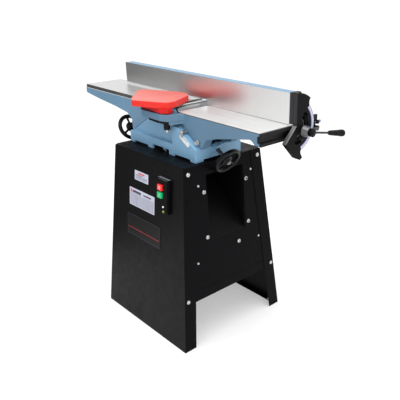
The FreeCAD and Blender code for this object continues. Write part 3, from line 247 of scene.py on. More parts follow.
def plastic(name, color, rough=0.38, spec=0.4, grain=0.2):
    m = Mat(name, color, rough, Specular_IOR_Level=spec)
    m.set("Base Color", m.mix(m.span(m.noise(80.0, 2.0), 0.3, 0.7, 0.0, 1.0), shade(color, 0.94), shade(color, 1.06)))
    m.set("Roughness", m.span(m.noise(260.0, 2.0), 0.3, 0.7, rough - 0.04, rough + 0.07))
    m.bump(m.noise(1300.0, 1.0), grain, 0.00012)
    return m


def guard_material():
    """Red casting enamel, with a painted sheen: the faces that look up turn paler, a painted reflection of the bright
    light above.
    """
    color, pale = lin(214, 34, 24), lin(207, 101, 92)
    m = Mat("guard_red_enamel", color, 0.34, Specular_IOR_Level=0.3, Coat_Weight=0.12, Coat_Roughness=0.2)
    geo = m.new("NewGeometry")
    split = m.new("SeparateXYZ")
    m.feed(split.inputs[0], geo.outputs["Normal"])
    # painted sheen: faces whose normal points up blend towards the pale red
    up = m.span(split.outputs[2], 0.72, 0.99, 0.0, 1.0)
    drift = m.mix(m.span(m.noise(14.0, 3.0), 0.3, 0.7, 0.0, 1.0), shade(pale, 0.94), shade(pale, 1.05))
    m.set("Base Color", m.mix(up, m.mix(m.span(m.noise(22.0, 3.0), 0.3, 0.7, 0.0, 1.0), shade(color, 0.94), shade(color, 1.04)), drift))
    m.set("Roughness", m.span(m.noise(120.0, 2.0), 0.3, 0.7, 0.3, 0.42))
    m.bump(m.noise(75.0, 2.0), 0.14, 0.0007)
    return m


def fence_material():
    """Ground face: upright grinding marks, soft reflections and a painted shadow line where the face meets the table.
    """
    color = (0.74, 0.74, 0.735)
    m = Mat("fence_ground_face", color, 0.31, 1.0)
    lines = m.noise(1.0, 3.0, 0.6, m.mapped((420.0, 10.0, 5.0)))
    soft = m.noise(1.0, 1.0, 0.5, m.mapped((70.0, 4.0, 2.0)))
    tone = m.mix(m.span(lines, 0.25, 0.75, 0.0, 1.0), shade(color, 0.97), shade(color, 1.02))
    tone = m.mix(m.span(soft, 0.35, 0.65, 0.0, 0.2), tone, shade(color, 0.95))
    x, y, z = m.axes()
    # painted shadow: the face below z 0.8617 turns near-black, standing for the shade in the gap above the table
    gap_shadow = m.calc("LESS_THAN", z, 0.8617)
    m.set("Base Color", m.mix(gap_shadow, tone, (0.05, 0.05, 0.052)))
    m.set("Roughness", m.calc("ADD", m.span(lines, 0.3, 0.7, 0.30, 0.325), m.span(m.noise(11.0, 2.0), 0.3, 0.7, -0.01, 0.02)))
    m.bump(lines, 0.02, 0.0002)
    return m


def quadrant_paint():
    """Black enamel, with a painted highlight: a bright line along the inner lip of the curved recess."""
    m = casting_paint("quadrant_black_enamel", lin(9, 9, 10), 0.36, 0.08)
    link = m.shader.inputs["Base Color"].links[0].from_socket
    x, y, z = m.axes()
    dy, dz = m.calc("SUBTRACT", y, 0.043), m.calc("SUBTRACT", z, 0.860)
    radius = m.calc("SQRT", m.calc("ADD", m.calc("MULTIPLY", dy, dy), m.calc("MULTIPLY", dz, dz)))
    angle = m.calc("MULTIPLY", m.calc("ARCTAN2", dz, dy), 180.0 / math.pi)
    # painted highlight: a grey ring about 1 mm either side of radius 34.1 mm on the outer face, standing for a glint on
    # the recess lip
    ring = m.calc("LESS_THAN", m.calc("ABSOLUTE", m.calc("SUBTRACT", radius, 0.0341)), 0.0010)
    face = m.calc("MULTIPLY", m.calc("GREATER_THAN", x, 0.5105), m.calc("MULTIPLY", m.calc("GREATER_THAN", angle, -80.0), m.calc("LESS_THAN", angle, 38.0)))
    lip_highlight = m.calc("MULTIPLY", m.calc("MULTIPLY", ring, face), m.span(m.noise(70.0, 3.0), 0.35, 0.6, 0.25, 1.0), clamp=True)
    m.set("Base Color", m.mix(lip_highlight, link, (0.36, 0.36, 0.36)))
    return m


# BLACK_TOP and BLACK_SIDE are darker copies of the stand's black powder coat for up-facing and side-facing faces:
# painted shade
BLACK = powder_coat("stand_black_powder", lin(9, 9, 11), 0.42, 0.09)
BLACK_TOP = powder_coat("tray_black_powder", lin(7, 7, 9), 0.4, 0.06)
BLACK_SIDE = powder_coat("side_black_powder", lin(5, 5, 7), 0.4, 0.05)
# the infeed blue, the fence blue and the outfeed blue are darker copies of the casting blue: painted shade on the table
# and fence castings
SHADED_TABLE_BLUE = lin(83, 115, 139)
BLUE = casting_paint("casting_blue_enamel", lin(113, 154, 184))
BLUE_FENCE = casting_paint("fence_blue_enamel", lin(96, 134, 162))
RED = guard_material()
# a darker copy of the guard red for the lower tier under the plate: painted shade
RED_LOW = enamel("guard_red_underside", lin(196, 14, 10), 0.36, 0.25, 0.1)
# two copies of one ground top: the outfeed's darker as painted shade, the infeed's lighter as painted light, for how
# light falls on each table
TABLE_OUT = ground_steel("outfeed_ground_top", (0.58, 0.58, 0.577), 0.34, (4.0, 520.0, 60.0), metal=0.7, depth=0.1, blotch=0.03, waves=0.05)
TABLE_IN = ground_steel("infeed_ground_top", (0.87, 0.87, 0.866), 0.34, (4.0, 520.0, 60.0), metal=0.7, depth=0.1, blotch=0.03, waves=0.05)
TABLE_STRIP = ground_steel("table_milled_edge", (0.30, 0.295, 0.29), 0.36, (340.0, 340.0, 40.0), depth=0.5, turn=(0.0, 0.6, 0.0))
# darkened lip steel, painted shade for the gap round the cutterhead
LIP = ground_steel("table_lip_steel", (0.50, 0.50, 0.49), 0.3, (8.0, 500.0, 500.0))
FENCE_FACE = fence_material()
CAST_BLACK = quadrant_paint()
CAST_PAD = ground_steel("quadrant_worn_pad", (0.17, 0.17, 0.175), 0.42, (60.0, 400.0, 400.0), metal=0.6)
# a lighter copy of the black casting enamel for the quadrant's front faces and the fence's end plate: painted light
CAST_STRIP = casting_paint("quadrant_front_strip", lin(38, 38, 41), 0.36, 0.25)
RAIL = ground_steel("rail_blackened_bar", (0.014, 0.014, 0.0155), 0.38, (30.0, 3.0, 600.0), metal=0.8, depth=0.25)
BRIGHT = zinc("bright_zinc")
NUT = zinc("nut_dull_zinc", (0.30, 0.30, 0.29), 0.36)
PALE = zinc("pale_zinc", (0.50, 0.50, 0.49), 0.3, 0.9)
STEEL = ground_steel("turned_steel", (0.55, 0.555, 0.56), 0.26, (300.0, 300.0, 300.0), depth=0.12)
# darkened head steel, painted shade for the cutterhead seen down in the gap
HEAD = ground_steel("head_ground_steel", (0.26, 0.265, 0.27), 0.3, (500.0, 6.0, 500.0), depth=0.2)
THREAD = ground_steel("screw_dark_steel", (0.12, 0.12, 0.125), 0.34, (500.0, 500.0, 500.0), metal=0.9)
WHEEL = enamel("handwheel_black_enamel", lin(7, 7, 8), 0.26, 0.14, 0.04)
ROD = enamel("lever_black_oxide", lin(20, 20, 21), 0.24, 0.5, 0.2)
CONE = ground_steel("cone_dark_steel", (0.14, 0.14, 0.145), 0.34, (600.0, 60.0, 60.0), metal=0.9, depth=0.15)
GRIP = plastic("grip_black_rubber", lin(11, 11, 12), 0.46, 0.16, 0.4)
BELT = plastic("belt_rubber", lin(20, 20, 20), 0.72, 0.2, 0.5)
MOTOR = casting_paint("motor_grey_paint", lin(88, 92, 98), 0.45, 0.35)
PULLEY = ground_steel("pulley_machined_iron", (0.26, 0.265, 0.27), 0.4, (260.0, 260.0, 260.0))
CASE = plastic("switch_black_case", lin(9, 9, 10), 0.4, 0.08)
# pale grey for the switch's up-facing top faces: painted highlight
SWITCH_TOP_HIGHLIGHT = plastic("switch_top_painted_highlight", lin(112, 114, 118), 0.34, 0.3)
STOP = plastic("stop_red_plastic", lin(236, 40, 34), 0.28, 0.5, 0.08)
START = plastic("start_green_plastic", lin(10, 176, 108), 0.28, 0.5, 0.08)
LAMP = plastic("lamp_white_lens", lin(236, 238, 236), 0.2, 0.5, 0.05)
EARTH = plastic("earth_disc_print", lin(132, 140, 40), 0.4, 0.4, 0.05)
INK_RED = plastic("print_red", lin(206, 48, 52), 0.45, 0.3, 0.05)
INK_GREY = plastic("print_grey", lin(104, 106, 122), 0.45, 0.3, 0.05)
INK_DARK = plastic("print_dark", lin(58, 60, 74), 0.45, 0.3, 0.05)
INK_FAINT = plastic("print_faint_outline", lin(64, 66, 70), 0.45, 0.3, 0.05)
LABEL = plastic("label_pale_film", lin(182, 184, 200), 0.36, 0.3, 0.05)
LABEL_DARK = plastic("label_dark_film", lin(14, 14, 16), 0.4, 0.16, 0.08)


def band_material():
    """Tilt scale: pale film with degree marks that run to the outer edge."""
    base = lin(198, 196, 216)
    m = Mat("tilt_band_scale", base, 0.34, 0.35)
    x, y, z = m.axes()
    dy, dz = m.calc("SUBTRACT", y, 0.043), m.calc("SUBTRACT", z, 0.860)
    angle = m.calc("MULTIPLY", m.calc("ARCTAN2", dz, dy), 180.0 / math.pi)
    radius = m.calc("SQRT", m.calc("ADD", m.calc("MULTIPLY", dy, dy), m.calc("MULTIPLY", dz, dz)))
    fine = m.calc("ABSOLUTE", m.calc("SUBTRACT", m.calc("FRACT", m.calc("ADD", angle, 200.5)), 0.5))
    five = m.calc("ABSOLUTE", m.calc("SUBTRACT", m.calc("FRACT", m.calc("MULTIPLY", m.calc("ADD", angle, 202.5), 0.2)), 0.5))
    ten = m.calc("ABSOLUTE", m.calc("SUBTRACT", m.calc("FRACT", m.calc("MULTIPLY", m.calc("ADD", angle, 205.0), 0.1)), 0.5))
    ticks = m.calc("MULTIPLY", m.calc("LESS_THAN", fine, 0.16), m.calc("GREATER_THAN", radius, 0.0822))
    fives = m.calc("MULTIPLY", m.calc("LESS_THAN", five, 0.04), m.calc("GREATER_THAN", radius, 0.0805))
    tens = m.calc("MULTIPLY", m.calc("LESS_THAN", ten, 0.024), m.calc("GREATER_THAN", radius, 0.0785))
    ink = m.calc("MAXIMUM", ticks, m.calc("MAXIMUM", fives, tens))
    drift = m.mix(m.span(m.noise(26.0, 2.0), 0.35, 0.65, 0.0, 1.0), lin(178, 186, 214), lin(214, 186, 200))
    inner = m.mix(m.calc("LESS_THAN", radius, 0.0752), m.mix(0.55, base, drift), lin(120, 128, 168))
    m.set("Base Color", m.mix(ink, inner, lin(30, 32, 46)))
    m.set("Roughness", m.span(m.noise(300.0, 2.0), 0.3, 0.7, 0.28, 0.42))
    m.bump(ink, 0.2, 0.0001)
    return m


def depth_material():
    """Depth scale: bright plate with marks across its length."""
    base = (0.80, 0.81, 0.82)
    m = Mat("depth_scale_etched", base, 0.36, 0.35)
    x, y, z = m.axes()
    dx, dz = m.calc("SUBTRACT", x, 0.1435), m.calc("SUBTRACT", z, 0.7715)
    along = m.calc("SUBTRACT", m.calc("MULTIPLY", dx, CW), m.calc("MULTIPLY", dz, SW))
    across = m.calc("ADD", m.calc("MULTIPLY", dx, SW), m.calc("MULTIPLY", dz, CW))
    mark = m.calc("ABSOLUTE", m.calc("SUBTRACT", m.calc("FRACT", m.calc("MULTIPLY", m.calc("ADD", along, 1.0), 400.0)), 0.5))
    inside = m.calc("MULTIPLY", m.calc("LESS_THAN", m.calc("ABSOLUTE", along), 0.0162), m.calc("GREATER_THAN", across, 0.0015))
    ink = m.calc("MULTIPLY", m.calc("LESS_THAN", mark, 0.13), inside)
    m.set("Base Color", m.mix(ink, m.mix(m.span(m.noise(60.0, 3.0), 0.3, 0.7, 0.0, 1.0), shade(base, 0.9), shade(base, 1.1)), (0.03, 0.03, 0.035)))
    m.set("Roughness", m.span(m.noise(500.0, 2.0, at=m.mapped((0.05, 1.0, 1.0))), 0.3, 0.7, 0.26, 0.4))
    m.bump(ink, 0.25, 0.0001)
    return m


BAND = band_material()
DEPTH = depth_material()


def infeed_paint():
    """Blue enamel, a darker copy of the casting blue as painted shade, that stops at a thin milled margin under the
    infeed table's top edge; the margin's near-black tone is a painted dark reflection.
    """
    m = casting_paint("infeed_blue_enamel", SHADED_TABLE_BLUE)
    link = m.shader.inputs["Base Color"].links[0].from_socket
    x, y, z = m.axes()
    # painted reflection: the milled margin is near-black with streaks, standing for dark surroundings reflected in bare
    # steel
    edge = m.calc("MULTIPLY", m.calc("GREATER_THAN", z, 0.8563), m.calc("GREATER_THAN", y, -0.0987))
    m.set("Base Color", m.mix(edge, link, m.mix(m.noise(1.0, 2.0, at=m.mapped((14.0, 14.0, 900.0))), (0.03, 0.032, 0.034), (0.11, 0.11, 0.11))))
    return m


BLUE_INFEED = infeed_paint()


def outfeed_paint():
    """Blue enamel, a darker copy of the casting blue as painted shade, that stops just under the outfeed table's milled
    ledge.
    """
    m = casting_paint("outfeed_blue_enamel", lin(98, 132, 158))
    link = m.shader.inputs["Base Color"].links[0].from_socket
    x, y, z = m.axes()
    edge = m.calc("GREATER_THAN", z, 0.8600)
    m.set("Base Color", m.mix(edge, link, m.mix(m.noise(1.0, 2.0, at=m.mapped((14.0, 14.0, 900.0))), (0.5, 0.5, 0.49), (0.66, 0.66, 0.65))))
    return m


BLUE_OUTFEED = outfeed_paint()



# ------------------------------------------------------------------ CAD nodes: finish by face, softened edges
def clean_normals(me):
    for name in ("custom_normal",):
        if name in me.attributes:
            me.attributes.remove(me.attributes[name])


def edge_softness(o, rule):
    """Gives every sharp edge a bevel share from rule(middle, normal a, normal b), of the widest one, and returns that width."""
    me = o.data
    near = {}
    def key(v):
        return (round(v.x, 5), round(v.y, 5), round(v.z, 5))
    for p in me.polygons:
        ks = [key(me.vertices[i].co) for i in p.vertices]
        for i, a in enumerate(ks):
            b = ks[(i + 1) % len(ks)]
            near.setdefault((a, b) if a < b else (b, a), []).append(p.normal)
    widths = []
    for e in me.edges:
        a, b = (key(me.vertices[i].co) for i in e.vertices)
        ns = near.get((a, b) if a < b else (b, a), [])
        w = 0.0
        if len(ns) == 2 and ns[0].angle(ns[1], 0.0) > math.radians(24.0):
            mid = (me.vertices[e.vertices[0]].co + me.vertices[e.vertices[1]].co) / 2
            w = rule(mid, ns[0], ns[1])
        widths.append(w)
    most = max(widths + [1e-5])
    layer = me.attributes.get("bevel_weight_edge") or me.attributes.new("bevel_weight_edge", "FLOAT", "EDGE")
    layer.data.foreach_set("value", [w / most for w in widths])
    return most


def soften(o, width, segments=2, flatten=True):
    """Rounds the CAD node's edges with modifiers. width is metres, or a rule for edge_softness."""
    me = o.data
    clean_normals(me)
    for p in me.polygons:
        p.use_smooth = True
    rule = width if callable(width) else (lambda mid, a, b: width)
    most = edge_softness(o, rule)
    weld = o.modifiers.new("weld", "WELD")
    weld.merge_threshold = 2e-6
    if flatten:
        flat = o.modifiers.new("flat", "DECIMATE")
        flat.decimate_type = "DISSOLVE"
        flat.angle_limit = math.radians(0.4)
        flat.delimit = {"MATERIAL"}
    bevel = o.modifiers.new("edges", "BEVEL")
    bevel.limit_method = "WEIGHT"
    bevel.width = most
    bevel.segments = segments
    bevel.use_clamp_overlap = False
    bevel.miter_outer = "MITER_ARC"
    bevel.harden_normals = False
    normals = o.modifiers.new("normals", "WEIGHTED_NORMAL")
    normals.weight = 60
    normals.keep_sharp = False
    return o


def dress(node, *rules):
    """rules are materials, each but the last with a test of a face's normal and middle."""
    o = NODES[node]
    o.data.materials.clear()
    tests = []
    for item in rules:
        mat, test = item if isinstance(item, tuple) else (item, None)
        o.data.materials.append(mat.mat)
        tests.append(test)
    for p in o.data.polygons:
        index = len(tests) - 1
        for k, test in enumerate(tests[:-1]):
            if test(p.normal, p.center):
                index = k
                break
        p.material_index = index
    return o


def near(v, target, tol=0.0006):
    return abs(v - target) < tol


# side-facing faces take the darker side copy of the black: painted shade
for name in ("front_panel", "back_panel", "right_side_panel", "lower_rail_right", "lower_rail_left", "chip_chute", "motor_shelf"):
    soften(dress(name, (BLACK_SIDE, lambda n, c: abs(n.x) > 0.9), BLACK), 0.0008)
vented = dress("left_side_panel", (BLACK_SIDE, lambda n, c: abs(n.x) > 0.9), BLACK)
clean_normals(vented.data)
for p in vented.data.polygons:
    p.use_smooth = False
# the tray's up-facing faces take the darker top copy of the black: painted shade
soften(dress("top_plate", (BLACK_TOP, lambda n, c: n.z > 0.9), BLACK), 0.0008)
soften(dress("outfeed_table", (TABLE_OUT, lambda n, c: n.z > 0.99 and near(c.z, 0.874)), (LIP, lambda n, c: c.x > -0.0195 and c.z > 0.855),
             (LIP, lambda n, c: n.z > 0.99 and near(c.z, 0.862)), (TABLE_STRIP, lambda n, c: c.z > 0.8621 and abs(n.y) > 0.9), BLUE_OUTFEED),
       lambda mid, a, b: 0.0005 if mid.z > 0.861 or mid.x > -0.0195 else 0.0022, 3)
soften(dress("infeed_table", (TABLE_IN, lambda n, c: n.z > 0.99 and near(c.z, 0.8595)), (LIP, lambda n, c: c.x < 0.1055 and c.z > 0.8475 and abs(n.y) < 0.5 and c.y > -0.0985),
             BLUE_INFEED),
       lambda mid, a, b: 0.0 if math.hypot(mid.x - 0.065, mid.y + 0.134) < 0.016 else
       0.0006 if mid.z > 0.858 or (mid.x < 0.104 and mid.z > 0.8465 and mid.y > -0.0985) else 0.0009 if mid.y < -0.0985 else 0.0022, 3)
soften(dress("base_casting", BLUE), lambda mid, a, b: 0.0026 if mid.z > 0.7015 else 0.0015, 3)
soften(dress("fence", (FENCE_FACE, lambda n, c: n.y < -0.99 and near(c.y, 0.043)), (LIP, lambda n, c: n.x < -0.99 and c.x < -0.4), (LIP, lambda n, c: n.z < -0.99 and c.z < 0.881),
             (CAST_STRIP, lambda n, c: n.x > 0.9 and c.x > 0.479), BLUE_FENCE), lambda mid, a, b: 0.0004 if mid.x > 0.479 else 0.0007 if mid.y < 0.0435 else 0.0018, 3)
# front faces above the pivot take the lighter black copy: painted light
soften(dress("fence_quadrant", (CAST_PAD, lambda n, c: n.y < -0.5 and n.z > 0.5), (CAST_STRIP, lambda n, c: n.y < -0.9 and c.z > 0.86), CAST_BLACK),
       lambda mid, a, b: 0.0011 if mid.x < 0.511 else 0.0015, 3)
soften(dress("end_rail", RAIL), 0.0007)
soften(dress("fence_carriage", (STEEL, lambda n, c: c.x > 0.5135), RAIL), 0.0004)
soften(dress("base_bolts", BRIGHT), 0.0005)
soften(dress("head_bearings", STEEL), 0.0003)
soften(dress("depth_scale_plate", DEPTH), 0.0004)
soften(dress("cutterhead", HEAD), 0.0004)
soften(dress("cutter_knives", BRIGHT), 0.0002)
soften(dress("knife_wedges", HEAD), 0.0004)
soften(dress("cutterhead_pulley", PULLEY), 0.0005)
soften(dress("motor_pulley", PULLEY), 0.0005)
soften(dress("drive_belt", BELT), 0.0004)
soften(dress("outfeed_gib", HEAD), 0.0004)
soften(dress("infeed_gib", HEAD), 0.0004)
soften(dress("outfeed_lock_bolt", BRIGHT), 0.0007)
soften(dress("infeed_lock_bolt", BRIGHT), 0.0007)
soften(dress("depth_pointer", BRIGHT), 0.0003)
soften(dress("infeed_screw", THREAD), 0.0004)
soften(dress("outfeed_screw", THREAD), 0.0004)
soften(dress("infeed_handwheel_nut", NUT), 0.0005)
soften(dress("outfeed_handwheel_nut", NUT), 0.0005)
soften(dress("guard_post", STEEL), 0.0004)
soften(dress("guard_spring_housing", WHEEL), 0.0012, 3)
soften(dress("guard_spring_screw", BRIGHT), 0.0005)
soften(dress("tilt_scale_band", BAND), 0.0002)
soften(dress("tilt_stop_bolt", BRIGHT), 0.0005)
soften(dress("index_plunger", zinc("plunger_blued_steel", (0.22, 0.34, 0.52), 0.28)), 0.0005)
soften(dress("tilt_pointer", THREAD), 0.0003)
soften(dress("lock_cone_washer", CONE), 0.0009, 3)
fan_cover = dress("motor_fan_cover", MOTOR)
clean_normals(fan_cover.data)
for p in fan_cover.data.polygons:
    p.use_smooth = abs(p.normal.y) < 0.5
soften(dress("motor_housing", MOTOR), 0.0007)
soften(dress("motor_shaft", STEEL), 0.0005)
soften(dress("belt_cover", BLUE), 0.0014, 3)
# up-facing top faces of box and escutcheon take the pale grey: painted highlight
soften(dress("switch_box", (SWITCH_TOP_HIGHLIGHT, lambda n, c: n.z > 0.9 and c.z > 0.63), CASE), 0.0009, 3)
soften(dress("switch_escutcheon", (SWITCH_TOP_HIGHLIGHT, lambda n, c: n.z > 0.9 and c.z > 0.63), CASE), 0.0005)
soften(dress("stop_button", STOP), 0.0012, 3)
soften(dress("start_button", START), 0.0012, 3)
soften(dress("pilot_lamp", LAMP), 0.0008, 3)
soften(dress("info_plates", LABEL), 0.0003)
soften(dress("name_plate", LABEL_DARK), 0.0003)
soften(dress("chute_screws", PALE), 0.0006)
soften(dress("stand_screws", PALE), 0.0006)
LEVER_ROOT = Vector((0.5375, 0.0849, 0.8387))
LEVER_DIR = Vector((0.30, 0.945, -0.13)).normalized()
soften(dress("lock_lever", (ROD, lambda n, c: (c - LEVER_ROOT).dot(LEVER_DIR) > 0.0135), WHEEL), 0.0009, 3)


# ------------------------------------------------------------------ new pieces
def piece(name, verts, faces, mat, body, slot=None, smooth=True, replaces=()):
    me = bpy.data.meshes.new(name)
    me.from_pydata([tuple(v) for v in verts], [], faces)
    me.validate()
    bm = bmesh.new()
    bm.from_mesh(me)
    bmesh.ops.remove_doubles(bm, verts=bm.verts, dist=1e-6)
    bmesh.ops.recalc_face_normals(bm, faces=bm.faces)
    bm.to_mesh(me)
    bm.free()
    for p in me.polygons:
        p.use_smooth = smooth
    me.materials.append(mat.mat)
    o = bpy.data.objects.new(name, me)
    COL.objects.link(o)
    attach(o, body)
    if replaces:
        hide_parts(*replaces)
    return o


def even_normals(o):
    mod = o.modifiers.new("normals", "WEIGHTED_NORMAL")
    mod.weight = 60
    mod.keep_sharp = False
    return o


def axes_of(direction):
    d = Vector(direction).normalized()
    side = d.cross(Vector((0, 0, 1)))
    if side.length < 1e-6:
        side = Vector((1, 0, 0))
    side.normalize()
    return d, side, d.cross(side).normalized()


def lathe_data(origin, direction, profile, steps=72):
    """profile is (distance along, radius) from one end to the other. An end off the axis stays open."""
    d, u, v = axes_of(direction)
    origin = Vector(origin)
    verts, faces, rings = [], [], []
    for s, r in profile:
        if r < 1e-9:
            rings.append([len(verts)])
            verts.append(origin + d * s)
        else:
            rings.append(list(range(len(verts), len(verts) + steps)))
            for i in range(steps):
                a = 2 * math.pi * i / steps
                verts.append(origin + d * s + (u * math.cos(a) + v * math.sin(a)) * r)
    for a, b in zip(rings, rings[1:]):
        for i in range(steps):
            j = (i + 1) % steps
            if len(a) == 1 and len(b) == 1:
                continue
            if len(a) == 1:
                faces.append((a[0], b[i], b[j]))
            elif len(b) == 1:
                faces.append((a[i], b[0], a[j]))
            else:
                faces.append((a[i], b[i], b[j], a[j]))
    return verts, faces


def merged(*sets):
    verts, faces = [], []
    for vs, fs in sets:
        base = len(verts)
        verts += vs
        faces += [tuple(i + base for i in f) for f in fs]
    return verts, faces


def arc_outline(points, radii, step=6.0):
    """Corners with radii as a closed list of 2-D points, millimetres in and metres out."""
    out = []
    n = len(points)
    for i, p in enumerate(points):
        r = radii.get(i, 0) if isinstance(radii, dict) else radii
        p2 = Vector((p[0], p[1]))
        if not r:
            out.append(p2)
            continue
        a, b = Vector(points[i - 1]), Vector(points[(i + 1) % n])
        ua, ub = (a - p2).normalized(), (b - p2).normalized()
        half = ua.angle(ub) / 2
        run = r / math.tan(half)
        centre = p2 + (ua + ub).normalized() * (r / math.sin(half))
        start, end = p2 + ua * run - centre, p2 + ub * run - centre
        a0 = math.atan2(start.y, start.x)
        sweep = (math.atan2(end.y, end.x) - a0 + math.pi) % (2 * math.pi) - math.pi
        k = max(2, int(abs(math.degrees(sweep)) / step))
        for j in range(k + 1):
            t = a0 + sweep * j / k
            out.append(centre + Vector((math.cos(t), math.sin(t))) * r)
    return [v / 1000.0 for v in out]


def inset(points, amount):
    """The closed outline moved inwards along its vertex normals."""
    area = sum(a.x * b.y - b.x * a.y for a, b in zip(points, points[1:] + points[:1]))
    sign = 1.0 if area > 0 else -1.0
    out = []
    for i, p in enumerate(points):
        a, b = points[i - 1], points[(i + 1) % len(points)]
        ta, tb = (p - a), (b - p)
        ta = ta.normalized() if ta.length > 1e-9 else tb.normalized()
        tb = tb.normalized() if tb.length > 1e-9 else ta
        na, nb = Vector((-ta.y, ta.x)) * sign, Vector((-tb.y, tb.x)) * sign
        n = (na + nb)
        n = n.normalized() if n.length > 1e-9 else na
        out.append(p + n * (amount / max(0.5, n.dot(na))))
    return out


def slab_data(points, z0, z1, top, low, steps=6, hollow=None):
    """An outline raised from z0 to z1 with rounded top and low edges, and a hollow underside if asked: (wall, depth)."""
    levels = []
    for k in range(steps + 1):
        t = math.pi / 2 * k / steps
        levels.append((low * (1 - math.sin(t)), z0 + low * (1 - math.cos(t))))
    for k in range(steps + 1):
        t = math.pi / 2 * k / steps
        levels.append((top * (1 - math.cos(t)), z1 - top * (1 - math.sin(t))))
    verts, faces, rings = [], [], []
    for amount, z in levels:
        ring = inset(points, amount) if amount > 1e-9 else points
        rings.append(range(len(verts), len(verts) + len(ring)))
        verts += [Vector((p.x, p.y, z)) for p in ring]
    n = len(points)
    for a, b in zip(rings, rings[1:]):
        faces += [(a[i], a[(i + 1) % n], b[(i + 1) % n], b[i]) for i in range(n)]
    faces.append(tuple(rings[-1]))
    if hollow:
        wall, depth = hollow
        inner = inset(points, wall)
        r1 = range(len(verts), len(verts) + n)
        verts += [Vector((p.x, p.y, z0)) for p in inner]
        r2 = range(len(verts), len(verts) + n)
        verts += [Vector((p.x, p.y, z0 + depth)) for p in inner]
        first = rings[0]
        faces += [(first[i], r1[i], r1[(i + 1) % n], first[(i + 1) % n]) for i in range(n)]
        faces += [(r1[i], r2[i], r2[(i + 1) % n], r1[(i + 1) % n]) for i in range(n)]
        faces.append(tuple(reversed(r2)))
    else:
        faces.append(tuple(reversed(rings[0])))
    return verts, faces


# lobe round the guard post: the casting's core, where the head's clearance leaves the shell open
core = inset(arc_outline([(-92, -101.5), (-84, -140), (-50, -162), (66, -164), (98, -152), (120.3, -98.2), (97, -98.2), (97, -101.5)], {1: 18.0, 2: 30.0, 3: 34.0, 4: 22.0}), 0.0002)
even_normals(piece("infeed_lobe_core", *slab_data(core, 0.8342, 0.8568, 0.0008, 0.0008), BLUE_INFEED, "infeed", "casting_blue"))

# guard: a thick rounded plate with a lower tier round the pivot
upper = arc_outline([(-76, -182), (-136, -126), (-176, -92), (-186, -70), (-166, -50), (-40, 12), (2, 12), (34, -8), (84, -108), (86, -140), (40, -168), (-40, -206)],
                    {0: 20.0, 1: 60.0, 2: 20.0, 3: 14.0, 4: 22.0, 5: 18.0, 6: 14.0, 7: 16.0, 8: 18.0, 9: 24.0, 10: 60.0, 11: 18.0})
guard = piece("guard_plate", *slab_data(upper, 0.8762, 0.898, 0.0034, 0.0012, hollow=(0.0045, 0.014)), RED, "guard", "guard_red", replaces=("cutter_guard",))
even_normals(guard)
lower = arc_outline([(-112, -104), (-112, -132), (-60, -150), (66, -160), (88, -146), (88, -122), (60, -106)], {0: 8.0, 1: 12.0, 2: 40.0, 3: 18.0, 4: 12.0, 5: 14.0})
# the lower tier wears the darker red copy: painted shade under the plate
tier = piece("guard_lower_tier", *slab_data(lower, 0.8582, 0.8775, 0.0005, 0.003), RED_LOW, "guard", "guard_red")
even_normals(tier)

# lever grip: ribbed neck, swelling body, domed end
grip_at = LEVER_ROOT + LEVER_DIR * 0.068
prof = [(0.0, 0.0), (0.0, 0.0058), (0.0012, 0.0068), (0.003, 0.0072)]
s = 0.0045
for k in range(7):
    r = 0.0080 + 0.0003 * k
    prof += [(s, r - 0.0012), (s + 0.0006, r), (s + 0.0028, r + 0.0001), (s + 0.0034, r - 0.0012)]
    s += 0.0042
for t in range(0, 13):
    a = t / 12.0
    prof.append((s + a * 0.020, 0.0096 + 0.0020 * math.sin(a * math.pi / 2)))
end = s + 0.020
for t in range(1, 9):
    a = math.pi / 2 * t / 8
    prof.append((end + (0.0638 - end) * math.sin(a), 0.0116 * math.cos(a) ** 0.62 if t < 8 else 0.0))
piece("lever_grip_ribbed", *lathe_data(grip_at, LEVER_DIR, prof), GRIP, "lever", "grip_black", replaces=("lever_grip",))


